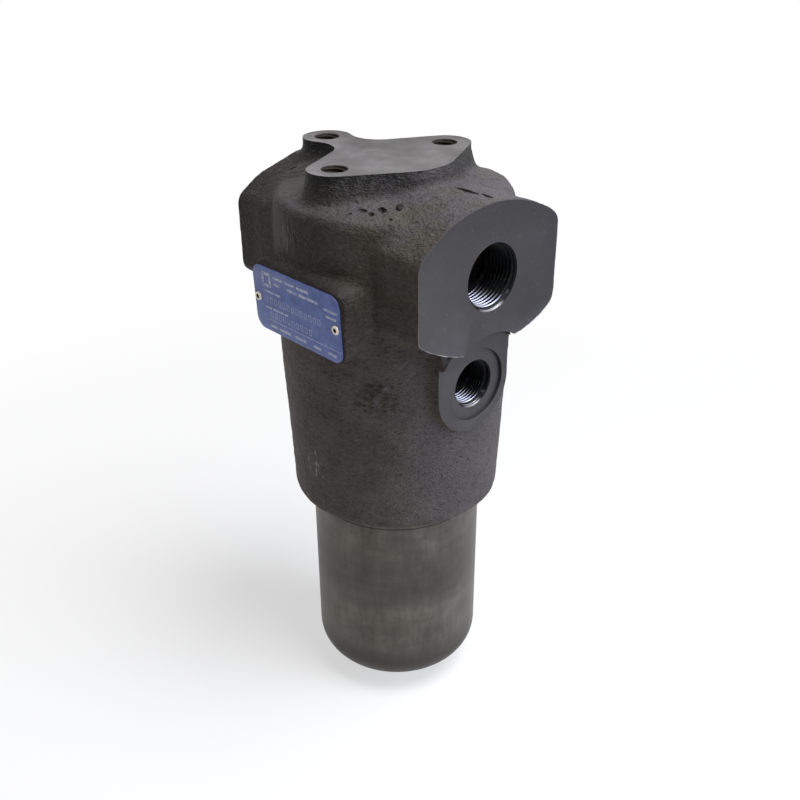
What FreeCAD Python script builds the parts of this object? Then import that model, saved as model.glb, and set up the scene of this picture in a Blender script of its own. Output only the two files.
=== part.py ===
import FreeCAD, Part
import math
import os

import Sketcher
from FreeCAD import Placement, Rotation, Vector

# High pressure in-line hydraulic filter, standing on the hexagon of its bowl.
# X runs along the two ports (the outlet faces +X), -Y is the nameplate side, +Z is up.
# The origin is the middle of the hexagon's lower face. Lengths are millimetres.

SIZES = [
    # Bowl, turned from steel
    ("hex_flats", 32),
    ("hex_height", 8),
    ("bowl_step", 1),
    ("bowl_length", 98.7),
    ("bowl_corner", 14),
    ("bowl_wall", 7.5),
    ("bowl_floor", 11),
    ("bowl_inner_corner", 7),
    ("bowl_relief_depth", 0.5),
    ("bowl_relief_height", 2.2),
    ("shoulder_gap", 0.3),
    ("bowl_thread_radius", 38),
    ("bowl_thread_length", 20),
    ("bowl_thread_clearance", 0.1),
    ("thread_runout", 2),
    ("pilot_step", 1.55),
    ("pilot_clearance", 0.1),
    ("neck_length", 36),
    ("edge_chamfer", 0.8),
    ("groove_depth", 2.75),
    ("groove_width", 5.6),
    ("groove_below_top", 5),
    ("ring_clearance", 0.15),
    ("bowl_ring_section", 2.55),
    ("backup_ring_height", 1.6),
    # Head, cast iron: outer form
    ("head_wall", 9),
    ("head_draft", 3),
    ("head_foot_rounding", 1.5),
    ("draft_height", 70),
    ("port_rise", 20.5),
    ("face_to_face", 113.6),
    ("crest_rise", 30.1),
    ("roof_radius", 55),
    ("belly_drop", 30.5),
    ("belly_radius", 62),
    ("dome_drop", 0.4),
    ("dome_radius", 185),
    ("boss_width", 77),
    ("boss_offset", 1.2),
    ("boss_rounding", 5.5),
    ("shoulder_rounding", 4.5),
    ("boss_shoulder_rounding", 6.5),
    ("valley_rounding", 6),
    ("pad_rise", 6.4),
    ("pad_disc_radius", 25.5),
    ("front_lobe_radius", 11.2),
    ("rear_lobe_radius", 10.5),
    ("pad_neck_rounding", 13),
    ("pad_foot_rounding", 5),
    ("front_hole_x", -1),
    ("hole_spacing", 60),
    ("rear_hole_inset", 13.9),
    ("mount_hole_radius", 5.05),
    ("mount_hole_depth", 14),
    ("mouth_chamfer", 0.9),
    ("plate_pad_proud", 2.5),
    ("plate_pad_margin", 1.2),
    ("plate_pad_rounding", 2),
    # Head: ports
    ("port_thread_radius", 13.25),
    ("port_thread_depth", 18),
    ("port_core_radius", 11.5),
    ("indicator_drop", 49.4),
    ("indicator_pocket_radius", 25.4),
    ("indicator_pocket_step", 0.5),
    ("indicator_boss_radius", 20.2),
    ("indicator_web_rise", 30),
    ("indicator_web_proud", 1.5),
    ("indicator_seat_radius", 15.9),
    ("indicator_seat_depth", 1.4),
    ("indicator_thread_radius", 10.05),
    ("indicator_thread_depth", 13),
    ("sense_hole_radius", 1.5),
    # Head: inside
    ("entry_chamfer", 1.2),
    ("pilot_lead_in", 1.6),
    ("chamber_step", 2.95),
    ("chamber_height", 50),
    ("chamber_rounding", 4),
    ("partition_height", 8),
    ("outlet_radius", 20),
    ("outlet_roof", 17),
    ("inlet_drop_radius", 9),
    ("inlet_drop_x", 34),
    ("inlet_drop_depth", 28),
    ("inlet_end", 25),
    # Nameplate
    ("plate_width", 56),
    ("plate_height", 28.5),
    ("plate_corner", 5),
    ("plate_thickness", 0.8),
    ("plate_drop", 15.6),
    ("plate_x", 0.9),
    ("rivet_margin", 2.8),
    ("rivet_drop", 1),
    ("rivet_radius", 1.5),
    ("rivet_head_radius", 2.3),
    ("rivet_head_height", 0.9),
    ("rivet_bore_radius", 0.9),
    ("rivet_length", 6),
    ("rivet_clearance", 0.05),
    # Valve carrier and bypass valve
    ("stem_radius", 11.5),
    ("stem_bore", 8.5),
    ("spigot_length", 18),
    ("flange_radius", 23.5),
    ("flange_height", 4),
    ("carrier_clearance", 0.05),
    ("carrier_groove_depth", 1.6),
    ("carrier_groove_height", 2.3),
    ("carrier_ring_section", 1.5),
    ("bypass_hole_radius", 2.2),
    ("bypass_hole_circle", 15.7),
    ("bypass_hole_count", 8),
    ("plate_clearance", 0.08),
    ("bypass_plate_radius", 18.6),
    ("bypass_plate_height", 2),
    ("guide_wall", 1.6),
    ("guide_height", 3),
    ("spring_wire", 2.5),
    ("spring_radius", 15),
    ("spring_length", 20),
    ("spring_turns", 4.5),
    ("retainer_radius", 17),
    ("retainer_height", 1.6),
    ("retainer_spigot", 3),
    ("circlip_height", 1.2),
    ("circlip_depth", 0.9),
    ("circlip_width", 2.6),
    ("circlip_gap", 9),
    ("stem_over_circlip", 2.5),
    # Filter element
    ("element_radius", 26.2),
    ("cap_height", 9),
    ("cap_disc", 3),
    ("cap_rim", 0.9),
    ("cap_gap", 8),
    ("cap_collar_depth", 15),
    ("core_radius", 17.1),
    ("core_wall", 1),
    ("core_hole_radius", 3),
    ("core_hole_rows", 7),
    ("core_hole_columns", 6),
    ("pleat_count", 36),
    ("pleat_sheet", 0.9),
    ("sleeve_radius", 25.2),
    ("sleeve_wall", 0.5),
    ("element_clearance", 0.1),
    ("element_floor_gap", 11),
    ("element_ring_section", 2.3),
    ("element_ring_drop", 6),
]

doc = FreeCAD.newDocument("pressure_filter")
sheet = doc.addObject("Spreadsheet::Sheet", "Sizes")
for row, (name, value) in enumerate(SIZES, start=1):
    sheet.set(f"A{row}", name.replace("_", " "))
    sheet.set(f"B{row}", str(value))
    sheet.setAlias(f"B{row}", name)
doc.recompute()


class Size:
    """A length worked out from the sheet: its value now, and the words that keep it tied to the cells."""

    def __init__(self, value, words):
        self.value = value
        self.words = words

    def __add__(self, other):
        other = size(other)
        return Size(self.value + other.value, f"({self.words} + {other.words})")

    def __sub__(self, other):
        other = size(other)
        return Size(self.value - other.value, f"({self.words} - {other.words})")

    def __mul__(self, other):
        other = size(other)
        return Size(self.value * other.value, f"({self.words} * {other.words})")

    def __truediv__(self, other):
        other = size(other)
        return Size(self.value / other.value, f"({self.words} / {other.words})")

    def __radd__(self, other):
        return size(other) + self

    def __rsub__(self, other):
        return size(other) - self

    def __rmul__(self, other):
        return size(other) * self

    def __neg__(self):
        return Size(-self.value, f"(-{self.words})")


def size(thing):
    """A plain number as a Size; a Size stays as it is."""
    if isinstance(thing, Size):
        return thing
    return Size(float(thing), f"{float(thing):.9f}")


def root(thing):
    """The square root of a Size."""
    return Size(math.sqrt(thing.value), f"sqrt({thing.words})")


class Cells:
    """Every size of the sheet under its own name."""


S = Cells()
for name, _ in SIZES:
    setattr(S, name, Size(float(sheet.get(name)), f"Sizes.{name}"))

# Sizes that follow from others
S.bowl_radius = S.bowl_thread_radius + S.bowl_step
S.pilot_radius = S.bowl_thread_radius - S.pilot_step
S.chamber_radius = S.pilot_radius - S.chamber_step
S.head_foot_radius = S.bowl_thread_radius + S.head_wall
S.head_radius = S.head_foot_radius + S.head_draft
S.plate_pad_reach = S.head_radius + S.plate_pad_proud
S.indicator_pocket_face = S.head_radius - S.indicator_pocket_step
S.rear_hole_x = S.rear_hole_inset - S.face_to_face / 2
S.rivet_spacing = S.plate_width - 2 * S.rivet_margin

# Heights, counted up from the foot
bowl_bottom = S.hex_height
head_bottom = bowl_bottom + S.bowl_length
bowl_shoulder = head_bottom - S.shoulder_gap
thread_top = head_bottom + S.bowl_thread_length
neck_top = head_bottom + S.neck_length
chamber_top = neck_top + S.chamber_height
outlet_bottom = chamber_top + S.partition_height
port_axis = outlet_bottom + S.port_rise
crest = port_axis + S.crest_rise
draft_top = head_bottom + S.draft_height
dome_top = crest - S.dome_drop
dome_edge = dome_top - S.dome_radius + root(S.dome_radius * S.dome_radius - S.head_radius * S.head_radius)
pad_root = dome_edge - S.pad_rise
pad_top = crest + S.pad_rise
indicator_axis = port_axis - S.indicator_drop
plate_middle = port_axis - S.plate_drop
rivet_axis = plate_middle - S.rivet_drop
flange_bottom = chamber_top - S.flange_height
seat_top = outlet_bottom
plate_top = seat_top + S.bypass_plate_height
retainer_bottom = plate_top + S.spring_length
circlip_bottom = retainer_bottom + S.retainer_height
stem_top = circlip_bottom + S.circlip_height + S.stem_over_circlip
bowl_inside = bowl_bottom + S.bowl_floor
element_bottom = bowl_inside + S.element_floor_gap
element_top = flange_bottom - S.cap_gap
groove_top = neck_top - S.groove_below_top
groove_bottom = groove_top - S.groove_width

# Lengths used by more than one piece
bowl_bore = S.bowl_radius - S.bowl_wall
half_face = S.face_to_face / 2
half_boss = S.boss_width / 2
boss_near = -half_boss - S.boss_offset
boss_far = half_boss - S.boss_offset
neck_radius = S.pilot_radius - S.pilot_clearance
neck_groove_radius = neck_radius - S.groove_depth
seal_inner = neck_groove_radius + S.ring_clearance


def new_body(label):
    """A part body of its own, named as its node."""
    body = doc.addObject("PartDesign::Body", label)
    body.Label = label
    return body


def bind(thing, **sizes):
    """Ties properties to the sheet; a double underscore stands for the dot in a path."""
    for path, value in sizes.items():
        thing.setExpression(path.replace("__", "."), size(value).words)


def origin_plane(body, role):
    return next(o for o in body.Origin.OriginFeatures if o.Role == role)


def arc_between(start, end, radius, bend):
    """The shorter arc from start to end; bend is +1 for anticlockwise, -1 for clockwise."""
    middle = (start + end) * 0.5
    half = (end - start).Length / 2
    across = Vector(-(end - start).y, (end - start).x, 0).normalize()
    centre = middle + across * (bend * math.sqrt(max(radius * radius - half * half, 0)))
    first, last = (start, end) if bend > 0 else (end, start)
    angles = [math.atan2(p.y - centre.y, p.x - centre.x) for p in (first, last)]
    if angles[1] < angles[0]:
        angles[1] += 2 * math.pi
    return Part.ArcOfCircle(Part.Circle(centre, Vector(0, 0, 1), radius), *angles)


def outline(body, name, role, corners, lift=0):
    """A closed sketch through corners, each tied to the sheet.

    A corner is (across, up), or (across, up, radius, bend) where an arc leads to it.
    """
    sketch = body.newObject("Sketcher::SketchObject", name)
    sketch.AttachmentSupport = [(origin_plane(body, role), "")]
    sketch.MapMode = "FlatFace"
    bind(sketch, AttachmentOffset__Base__z=lift)
    points = [Vector(size(c[0]).value, size(c[1]).value, 0) for c in corners]
    rules = []
    ties = []
    ends = []
    for i, corner in enumerate(corners):
        start, end = points[i - 1], points[i]
        if len(corner) == 2:
            sketch.addGeometry(Part.LineSegment(start, end), False)
            ends.append((1, 2))
            continue
        radius, bend = size(corner[2]), corner[3]
        sketch.addGeometry(arc_between(start, end, radius.value, bend), False)
        ends.append((1, 2) if bend > 0 else (2, 1))
        ties.append((len(rules), radius))
        rules.append(Sketcher.Constraint("Radius", i, radius.value))
    for i, corner in enumerate(corners):
        following = (i + 1) % len(corners)
        rules.append(Sketcher.Constraint("Coincident", i, ends[i][1], following, ends[following][0]))
        for kind, axis, value in (("DistanceX", -2, corner[0]), ("DistanceY", -1, corner[1])):
            value = size(value)
            if value.words == size(0).words:
                rules.append(Sketcher.Constraint("PointOnObject", i, ends[i][1], axis))
                continue
            if value.value > 0:
                place = (-1, 1, i, ends[i][1])
            else:
                place = (i, ends[i][1], -1, 1)
                value = -value
            ties.append((len(rules), value))
            rules.append(Sketcher.Constraint(kind, *place, value.value))
    sketch.addConstraint(rules)
    for index, value in ties:
        sketch.setExpression(f"Constraints[{index}]", value.words)
    return sketch


def turned(body, name, corners, cut=False):
    """Turns an outline of (radius, height) corners about Z."""
    sketch = outline(body, f"{name}_outline", "XZ_Plane", corners)
    kind = "PartDesign::Groove" if cut else "PartDesign::Revolution"
    feature = body.newObject(kind, name)
    feature.Profile = sketch
    feature.ReferenceAxis = (sketch, ["V_Axis"])
    feature.Angle = 360
    return feature


def pressed(body, name, sketch, length, cut=False, both_ways=False, down=False):
    """Pads or pockets a sketch by a length."""
    feature = body.newObject("PartDesign::Pocket" if cut else "PartDesign::Pad", name)
    feature.Profile = sketch
    feature.SideType = "Symmetric" if both_ways else "One side"
    feature.Reversed = down
    bind(feature, Length=length)
    return feature


ALONG = {
    "X": Rotation(Vector(0, 1, 0), 90),
    "-X": Rotation(Vector(0, 1, 0), -90),
    "Y": Rotation(Vector(1, 0, 0), -90),
    "-Y": Rotation(Vector(1, 0, 0), 90),
    "Z": Rotation(),
    "-Z": Rotation(Vector(1, 0, 0), 180),
}


def solid(body, kind, name, at, along="Z", **sizes):
    """A primitive of the body, standing at a point and running along an axis."""
    feature = body.newObject(f"PartDesign::{kind}", name)
    feature.Placement = Placement(Vector(), ALONG[along])
    x, y, z = at
    bind(feature, Placement__Base__x=x, Placement__Base__y=y, Placement__Base__z=z, **sizes)
    return feature


def edges_of(shape, wanted):
    """Names of the edges that pass a test."""
    return [
        f"Edge{i}" for i, edge in enumerate(shape.Edges, start=1)
        if not edge.Degenerated and wanted(edge)]


def finish_edges(body, name, wanted, amount, kind="Fillet"):
    """Rounds (or chamfers) the edges of the body that pass a test."""
    doc.recompute()
    base = body.Tip
    feature = body.newObject(f"PartDesign::{kind}", name)
    feature.Base = (base, edges_of(base.Shape, wanted))
    bind(feature, **{"Radius" if kind == "Fillet" else "Size": amount})
    doc.recompute()
    return feature


def repeated(body, name, feature, count):
    """Copies a feature evenly round Z."""
    pattern = body.newObject("PartDesign::PolarPattern", name)
    pattern.Originals = [feature]
    pattern.Axis = (origin_plane(body, "Z_Axis"), [""])
    pattern.Angle = 360
    bind(pattern, Occurrences=count)
    body.Tip = pattern
    return pattern


def near(value, target, margin=0.02):
    return abs(value - size(target).value) < margin


def along(edge):
    """Seven points along an edge."""
    first, last = edge.ParameterRange
    return [edge.valueAt(first + (last - first) * step / 6) for step in range(7)]


def is_circle(edge, radius):
    return isinstance(edge.Curve, Part.Circle) and near(edge.Curve.Radius, radius)


def make_bowl():
    """Deep bowl with a threaded neck, a seal groove near its top and a hexagon under its floor."""
    body = new_body("filter_bowl")
    relief_radius = S.bowl_radius - S.bowl_relief_depth
    thread_radius = S.bowl_thread_radius - S.bowl_thread_clearance
    turned(body, "bowl_turning", [
        (0, bowl_bottom),
        (S.bowl_radius, bowl_bottom),
        (S.bowl_radius, bowl_shoulder - S.bowl_relief_height),
        (relief_radius, bowl_shoulder - S.bowl_relief_height + S.bowl_relief_depth),
        (relief_radius, bowl_shoulder),
        (thread_radius, bowl_shoulder),
        (thread_radius, thread_top - S.thread_runout),
        (neck_radius, thread_top - S.thread_runout + S.bowl_thread_radius - S.pilot_radius),
        (neck_radius, groove_bottom),
        (neck_groove_radius, groove_bottom),
        (neck_groove_radius, groove_top),
        (neck_radius, groove_top),
        (neck_radius, neck_top - S.edge_chamfer),
        (neck_radius - S.edge_chamfer, neck_top),
        (bowl_bore + S.edge_chamfer, neck_top),
        (bowl_bore, neck_top - S.edge_chamfer),
        (bowl_bore, bowl_inside),
        (0, bowl_inside),
    ])
    finish_edges(
        body, "bottom_rounding",
        lambda e: is_circle(e, S.bowl_radius) and near(e.CenterOfMass.z, bowl_bottom), S.bowl_corner)
    finish_edges(
        body, "inner_rounding",
        lambda e: is_circle(e, bowl_bore) and near(e.CenterOfMass.z, bowl_inside), S.bowl_inner_corner)
    hexagon = solid(
        body, "AdditivePrism", "hexagon", (0, 0, 0),
        Circumradius=S.hex_flats / math.sqrt(3), Height=S.hex_height + S.bowl_floor / 2)
    hexagon.Polygon = 6
    finish_edges(
        body, "hexagon_chamfer",
        lambda e: near(e.BoundBox.ZMax, 0) and near(e.BoundBox.ZMin, 0), S.edge_chamfer, "Chamfer")
    return body


def unit(angle):
    return Vector(math.cos(angle), math.sin(angle), 0)


def mirrored(point):
    return Vector(point.x, -point.y, 0)


def arc(middle, radius, start, end):
    """An anticlockwise arc of a sketch."""
    return Part.ArcOfCircle(Part.Circle(middle, Vector(0, 0, 1), radius), start, end)


def lobe_outline(body, name):
    """The machined pad seen from above: a disc, two front lobes and a rear lobe on a waisted neck."""
    sketch = body.newObject("Sketcher::SketchObject", name)
    sketch.AttachmentSupport = [(origin_plane(body, "XY_Plane"), "")]
    sketch.MapMode = "FlatFace"
    bind(sketch, AttachmentOffset__Base__z=pad_top)
    centre = Vector()
    front = Vector(S.front_hole_x.value, S.hole_spacing.value / 2, 0)
    rear = Vector(S.rear_hole_x.value, 0, 0)
    disc, lobe, tail = S.pad_disc_radius.value, S.front_lobe_radius.value, S.rear_lobe_radius.value
    waist = S.pad_neck_rounding.value
    lean = math.atan2(front.y, front.x)
    spread = math.acos((disc - lobe) / front.Length)
    side_plus, side_minus = lean - spread, lean + spread
    normal = unit(side_minus)
    slope = unit(side_minus + math.pi / 2)
    offset = normal * (disc + waist) - rear
    run = offset.dot(slope)
    slide = -run - math.sqrt(run * run - offset.dot(offset) + (tail + waist) ** 2)
    waist_point = normal * (disc + waist) + slope * slide
    line_end = normal * disc + slope * slide
    to_tail = rear - waist_point
    at_tail = math.atan2(to_tail.y, to_tail.x)
    turn = 2 * math.pi
    pieces = [
        arc(centre, disc, -side_plus, side_plus),
        Part.LineSegment(unit(side_plus) * disc, front + unit(side_plus) * lobe),
        arc(front, lobe, side_plus, side_minus),
        Part.LineSegment(front + normal * lobe, line_end),
        arc(waist_point, waist, at_tail, side_minus - math.pi),
        arc(rear, tail, at_tail + math.pi, turn - (at_tail + math.pi)),
        arc(mirrored(waist_point), waist, math.pi - side_minus, -at_tail),
        Part.LineSegment(mirrored(line_end), mirrored(front + normal * lobe)),
        arc(mirrored(front), lobe, -side_minus, -side_plus),
        Part.LineSegment(mirrored(front + unit(side_plus) * lobe), mirrored(unit(side_plus) * disc)),
    ]
    sketch.addGeometry(pieces, False)
    # Going round, a stretch is entered at its first named end; the two waist arcs run backwards.
    ends = [(1, 2)] * len(pieces)
    ends[4] = ends[6] = (2, 1)
    rules = []
    for i, (_, leaving) in enumerate(ends):
        following = (i + 1) % len(ends)
        rules.append(Sketcher.Constraint("Tangent", i, leaving, following, ends[following][0]))
    for rear_line in (3, 7):
        rules.append(Sketcher.Constraint("Tangent", rear_line, 0))
    rules.append(Sketcher.Constraint("Coincident", 0, 3, -1, 1))
    rules.append(Sketcher.Constraint("PointOnObject", 5, 3, -1))
    ties = []

    def tie(value, *rule):
        ties.append((len(rules), value))
        rules.append(Sketcher.Constraint(*rule, value.value))

    tie(S.pad_disc_radius, "Radius", 0)
    tie(S.rear_lobe_radius, "Radius", 5)
    tie(-S.rear_hole_x, "DistanceX", 5, 3, -1, 1)
    tie(S.hole_spacing / 2, "DistanceY", -1, 1, 2, 3)
    tie(S.hole_spacing / 2, "DistanceY", 8, 3, -1, 1)
    for lobe_arc, waist_arc in ((2, 4), (8, 6)):
        tie(S.front_lobe_radius, "Radius", lobe_arc)
        tie(-S.front_hole_x, "DistanceX", lobe_arc, 3, -1, 1)
        tie(S.pad_neck_rounding, "Radius", waist_arc)
    sketch.addConstraint(rules)
    for index, value in ties:
        sketch.setExpression(f"Constraints[{index}]", value.words)
    return sketch


def ring_outline(inner, outer, low, high):
    """The corners of a rectangle, such as a plain ring's section."""
    return [(inner, low), (outer, low), (outer, high), (inner, high)]


def shoulder(half_width, arch_radius, rounding):
    """Where a vertical side is rounded into an arch about the middle: its side's end, and the arch's."""
    inset = arch_radius - rounding
    across = half_width - rounding
    rise = root(inset * inset - across * across)
    outward = arch_radius / inset
    return rise, across * outward, rise * outward


def cast_head(body):
    """The casting's outer form: drafted round body with a low dome, and the port boss across it."""
    turned(body, "round_body", [
        (0, head_bottom),
        (S.head_foot_radius, head_bottom),
        (S.head_radius, draft_top),
        (S.head_radius, dome_edge),
        (0, dome_top, S.dome_radius, 1),
    ])
    finish_edges(
        body, "shoulder_rounding",
        lambda e: is_circle(e, S.head_radius) and near(e.CenterOfMass.z, dome_edge),
        S.shoulder_rounding)
    arch_centre = crest - S.roof_radius
    side_rise, arch_y, arch_z = shoulder(half_boss, S.roof_radius, S.boss_shoulder_rounding)
    belly_centre = port_axis - S.belly_drop + S.belly_radius
    side_drop, belly_y, belly_z = shoulder(half_boss, S.belly_radius, S.boss_rounding)
    boss_outline = outline(body, "boss_outline", "YZ_Plane", [
        (boss_near, belly_centre - side_drop),
        (-belly_y - S.boss_offset, belly_centre - belly_z, S.boss_rounding, 1),
        (belly_y - S.boss_offset, belly_centre - belly_z, S.belly_radius, 1),
        (boss_far, belly_centre - side_drop, S.boss_rounding, 1),
        (boss_far, arch_centre + side_rise),
        (arch_y - S.boss_offset, arch_centre + arch_z, S.boss_shoulder_rounding, 1),
        (-arch_y - S.boss_offset, arch_centre + arch_z, S.roof_radius, 1),
        (boss_near, arch_centre + side_rise, S.boss_shoulder_rounding, 1),
    ])
    pressed(body, "port_boss", boss_outline, S.face_to_face, both_ways=True)
    doc.recompute()
    section = boss_outline.Shape

    def boss_root(edge):
        """Where the port boss meets the round body: down its sides, under it and over the dome."""
        if edge.BoundBox.XMax > half_face.value - 1 or edge.BoundBox.XMin < 1 - half_face.value:
            return False
        drops = [section.distToShape(Part.Vertex(0, p.y, p.z))[0] for p in along(edge)]
        return max(drops) < 0.02 and off_seam(edge)

    finish_edges(body, "boss_root_rounding", boss_root, S.valley_rounding)
    finish_edges(
        body, "foot_rounding",
        lambda e: is_circle(e, S.head_foot_radius) and near(e.CenterOfMass.z, head_bottom),
        S.head_foot_rounding)


def off_seam(edge):
    """False for the line where a turned face closes on itself."""
    return max(abs(p.y) for p in along(edge)) > 1


def add_pads(body):
    """Flat for the nameplate on the -Y side, machined mounting pad on top, boss for the indicator."""
    margin = S.plate_pad_margin
    left, right = S.plate_x - S.plate_width / 2 - margin, S.plate_x + S.plate_width / 2 + margin
    low, high = plate_middle - S.plate_height / 2 - margin, plate_middle + S.plate_height / 2 + margin
    plate_pad = outline(
        body, "plate_pad_outline", "XZ_Plane", ring_outline(left, right, low, high))
    pressed(body, "plate_pad", plate_pad, S.plate_pad_reach)
    finish_edges(
        body, "plate_pad_corners",
        lambda e: isinstance(e.Curve, Part.Line) and near(e.BoundBox.YMin, -S.plate_pad_reach)
        and e.BoundBox.YLength > 1,
        S.plate_corner + margin)
    finish_edges(
        body, "plate_pad_rim",
        lambda e: near(e.BoundBox.YMin, -S.plate_pad_reach) and near(e.BoundBox.YMax, -S.plate_pad_reach),
        S.plate_pad_rounding)
    pad_sketch = lobe_outline(body, "mounting_pad_outline")
    pressed(body, "mounting_pad", pad_sketch, pad_top - pad_root, down=True)
    doc.recompute()
    rim = pad_sketch.Shape

    def pad_foot(edge):
        """Below the pad's rim, on the roof."""
        drops = [rim.distToShape(Part.Vertex(p.x, p.y, pad_top.value))[0] for p in along(edge)]
        return max(drops) < 0.02 and edge.BoundBox.ZMax < crest.value + 0.01 and edge.Length > 0.1

    finish_edges(body, "mounting_pad_foot", pad_foot, S.pad_foot_rounding)
    radius = S.indicator_boss_radius
    near_side, far_side = -radius - S.boss_offset, radius - S.boss_offset
    web_top = indicator_axis + S.indicator_web_rise
    indicator_outline = outline(body, "indicator_boss_outline", "YZ_Plane", [
        (near_side, indicator_axis),
        (-S.boss_offset, indicator_axis - radius, radius, 1),
        (far_side, indicator_axis, radius, 1),
        (far_side, web_top),
        (near_side, web_top),
    ], S.chamber_radius)
    pressed(body, "indicator_boss", indicator_outline,
            S.indicator_pocket_face + S.indicator_web_proud - S.chamber_radius)


def machine_outside(body):
    """Spot-faced indicator seat, threaded holes and their mouths."""
    solid(
        body, "SubtractiveCylinder", "indicator_pocket", (S.indicator_pocket_face, 0, indicator_axis), "X",
        Radius=S.indicator_pocket_radius, Height=S.face_to_face)
    seat = S.indicator_pocket_face - S.indicator_seat_depth
    solid(
        body, "SubtractiveCylinder", "indicator_seat", (seat, 0, indicator_axis), "X",
        Radius=S.indicator_seat_radius, Height=S.face_to_face)
    bored(body, "indicator_hole", (seat, 0, indicator_axis), "-X",
          S.indicator_thread_radius, S.indicator_thread_depth)
    for name, x, y in (
            ("mount_hole_left", S.front_hole_x, -S.hole_spacing / 2),
            ("mount_hole_right", S.front_hole_x, S.hole_spacing / 2),
            ("mount_hole_rear", S.rear_hole_x, 0)):
        bored(body, name, (x, y, pad_top), "-Z", S.mount_hole_radius, S.mount_hole_depth)
    for side, direction, core in ((1, "-X", S.face_to_face / 2), (-1, "X", half_face - S.inlet_end)):
        name = "outlet" if side > 0 else "inlet"
        bored(body, f"{name}_thread", (side * half_face, 0, port_axis), direction,
              S.port_thread_radius, S.port_thread_depth)
        solid(
            body, "SubtractiveCylinder", f"{name}_core", (side * half_face, 0, port_axis), direction,
            Radius=S.port_core_radius, Height=core)


def bored(body, name, mouth, direction, radius, depth):
    """A blind hole from its mouth inwards, with a chamfered mouth."""
    solid(body, "SubtractiveCylinder", name, mouth, direction, Radius=radius, Height=depth)
    solid(
        body, "SubtractiveCone", f"{name}_mouth", mouth, direction,
        Radius1=radius + S.mouth_chamfer, Radius2=radius, Height=S.mouth_chamfer)


def hollow_head(body):
    """Bowl thread, seal bore, annular inlet chamber, outlet chamber and the passages between them."""
    turned(body, "bowl_bore", [
        (0, head_bottom),
        (S.bowl_thread_radius + S.entry_chamfer, head_bottom),
        (S.bowl_thread_radius, head_bottom + S.entry_chamfer),
        (S.bowl_thread_radius, thread_top),
        (S.pilot_radius, thread_top + S.pilot_lead_in),
        (S.pilot_radius, neck_top),
        (S.chamber_radius, neck_top),
        (S.chamber_radius, chamber_top),
        (0, chamber_top),
    ], cut=True)
    finish_edges(
        body, "chamber_rounding",
        lambda e: is_circle(e, S.chamber_radius) and near(e.CenterOfMass.z, chamber_top),
        S.chamber_rounding)
    solid(
        body, "SubtractiveCylinder", "outlet_chamber", (0, 0, flange_bottom), "Z",
        Radius=S.outlet_radius, Height=port_axis + S.outlet_roof - flange_bottom)
    finish_edges(
        body, "outlet_rounding",
        lambda e: is_circle(e, S.outlet_radius) and near(e.CenterOfMass.z, port_axis + S.outlet_roof),
        S.chamber_rounding)
    drop_end = chamber_top - S.inlet_drop_depth
    solid(
        body, "SubtractiveCylinder", "inlet_drop", (-S.inlet_drop_x, 0, drop_end), "Z",
        Radius=S.inlet_drop_radius, Height=port_axis - drop_end)
    inner_end = S.indicator_pocket_face - S.indicator_seat_depth - S.indicator_thread_depth
    solid(
        body, "SubtractiveCylinder", "inlet_sense_hole", (S.outlet_radius, 0, indicator_axis), "X",
        Radius=S.sense_hole_radius, Height=inner_end - S.outlet_radius + 1)
    solid(
        body, "SubtractiveCylinder", "outlet_sense_hole",
        (inner_end + S.indicator_thread_depth / 2, 0, indicator_axis), "Z",
        Radius=S.sense_hole_radius, Height=S.indicator_drop)


def make_head():
    body = new_body("filter_head")
    cast_head(body)
    add_pads(body)
    hollow_head(body)
    machine_outside(body)
    rivet_face = -S.plate_pad_reach
    for name, side in (("rivet_hole_left", -1), ("rivet_hole_right", 1)):
        solid(
            body, "SubtractiveCylinder", name,
            (S.plate_x + side * S.rivet_spacing / 2, rivet_face, rivet_axis), "Y",
            Radius=S.rivet_radius + S.rivet_clearance, Height=S.rivet_length + 1)
    return body


def make_nameplate():
    """Thin plate with rounded corners and two rivet holes, lying on its flat."""
    body = new_body("nameplate")
    left, right = S.plate_x - S.plate_width / 2, S.plate_x + S.plate_width / 2
    low, high = plate_middle - S.plate_height / 2, plate_middle + S.plate_height / 2
    sketch = outline(
        body, "plate_outline", "XZ_Plane", ring_outline(left, right, low, high), lift=S.plate_pad_reach)
    pressed(body, "plate_sheet", sketch, S.plate_thickness)
    finish_edges(
        body, "plate_corners",
        lambda e: isinstance(e.Curve, Part.Line) and near(e.Length, S.plate_thickness), S.plate_corner)
    for name, side in (("hole_left", -1), ("hole_right", 1)):
        solid(
            body, "SubtractiveCylinder", name,
            (S.plate_x + side * S.rivet_spacing / 2, -S.plate_pad_reach, rivet_axis), "-Y",
            Radius=S.rivet_radius + S.rivet_clearance, Height=S.plate_thickness)
    return body


def make_rivets():
    """Two hollow drive rivets through the nameplate into the head."""
    rivets = []
    for name, side in (("rivet_left", -1), ("rivet_right", 1)):
        body = doc.addObject("PartDesign::Body", name)
        top = S.rivet_length + S.plate_thickness
        turned(body, f"{name}_turning", [
            (S.rivet_bore_radius, 0),
            (S.rivet_radius, 0),
            (S.rivet_radius, top),
            (S.rivet_head_radius, top),
            (S.rivet_head_radius, top + S.rivet_head_height / 2),
            (S.rivet_bore_radius + S.rivet_head_height / 2, top + S.rivet_head_height),
            (S.rivet_bore_radius, top + S.rivet_head_height / 2),
        ])
        body.Placement = Placement(Vector(), ALONG["-Y"])
        bind(
            body, Placement__Base__x=S.plate_x + side * S.rivet_spacing / 2,
            Placement__Base__y=S.rivet_length - S.plate_pad_reach, Placement__Base__z=rivet_axis)
        rivets.append(body)
    group = doc.addObject("Part::Compound", "nameplate_rivets")
    group.Links = rivets
    return group


def seal_ring(label, height, inner, section):
    """An O-ring: its inner radius, and its section's diameter."""
    ring = doc.addObject("Part::Torus", label)
    bind(ring, Radius1=inner + section / 2, Radius2=section / 2, Placement__Base__z=height)
    return ring


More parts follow.
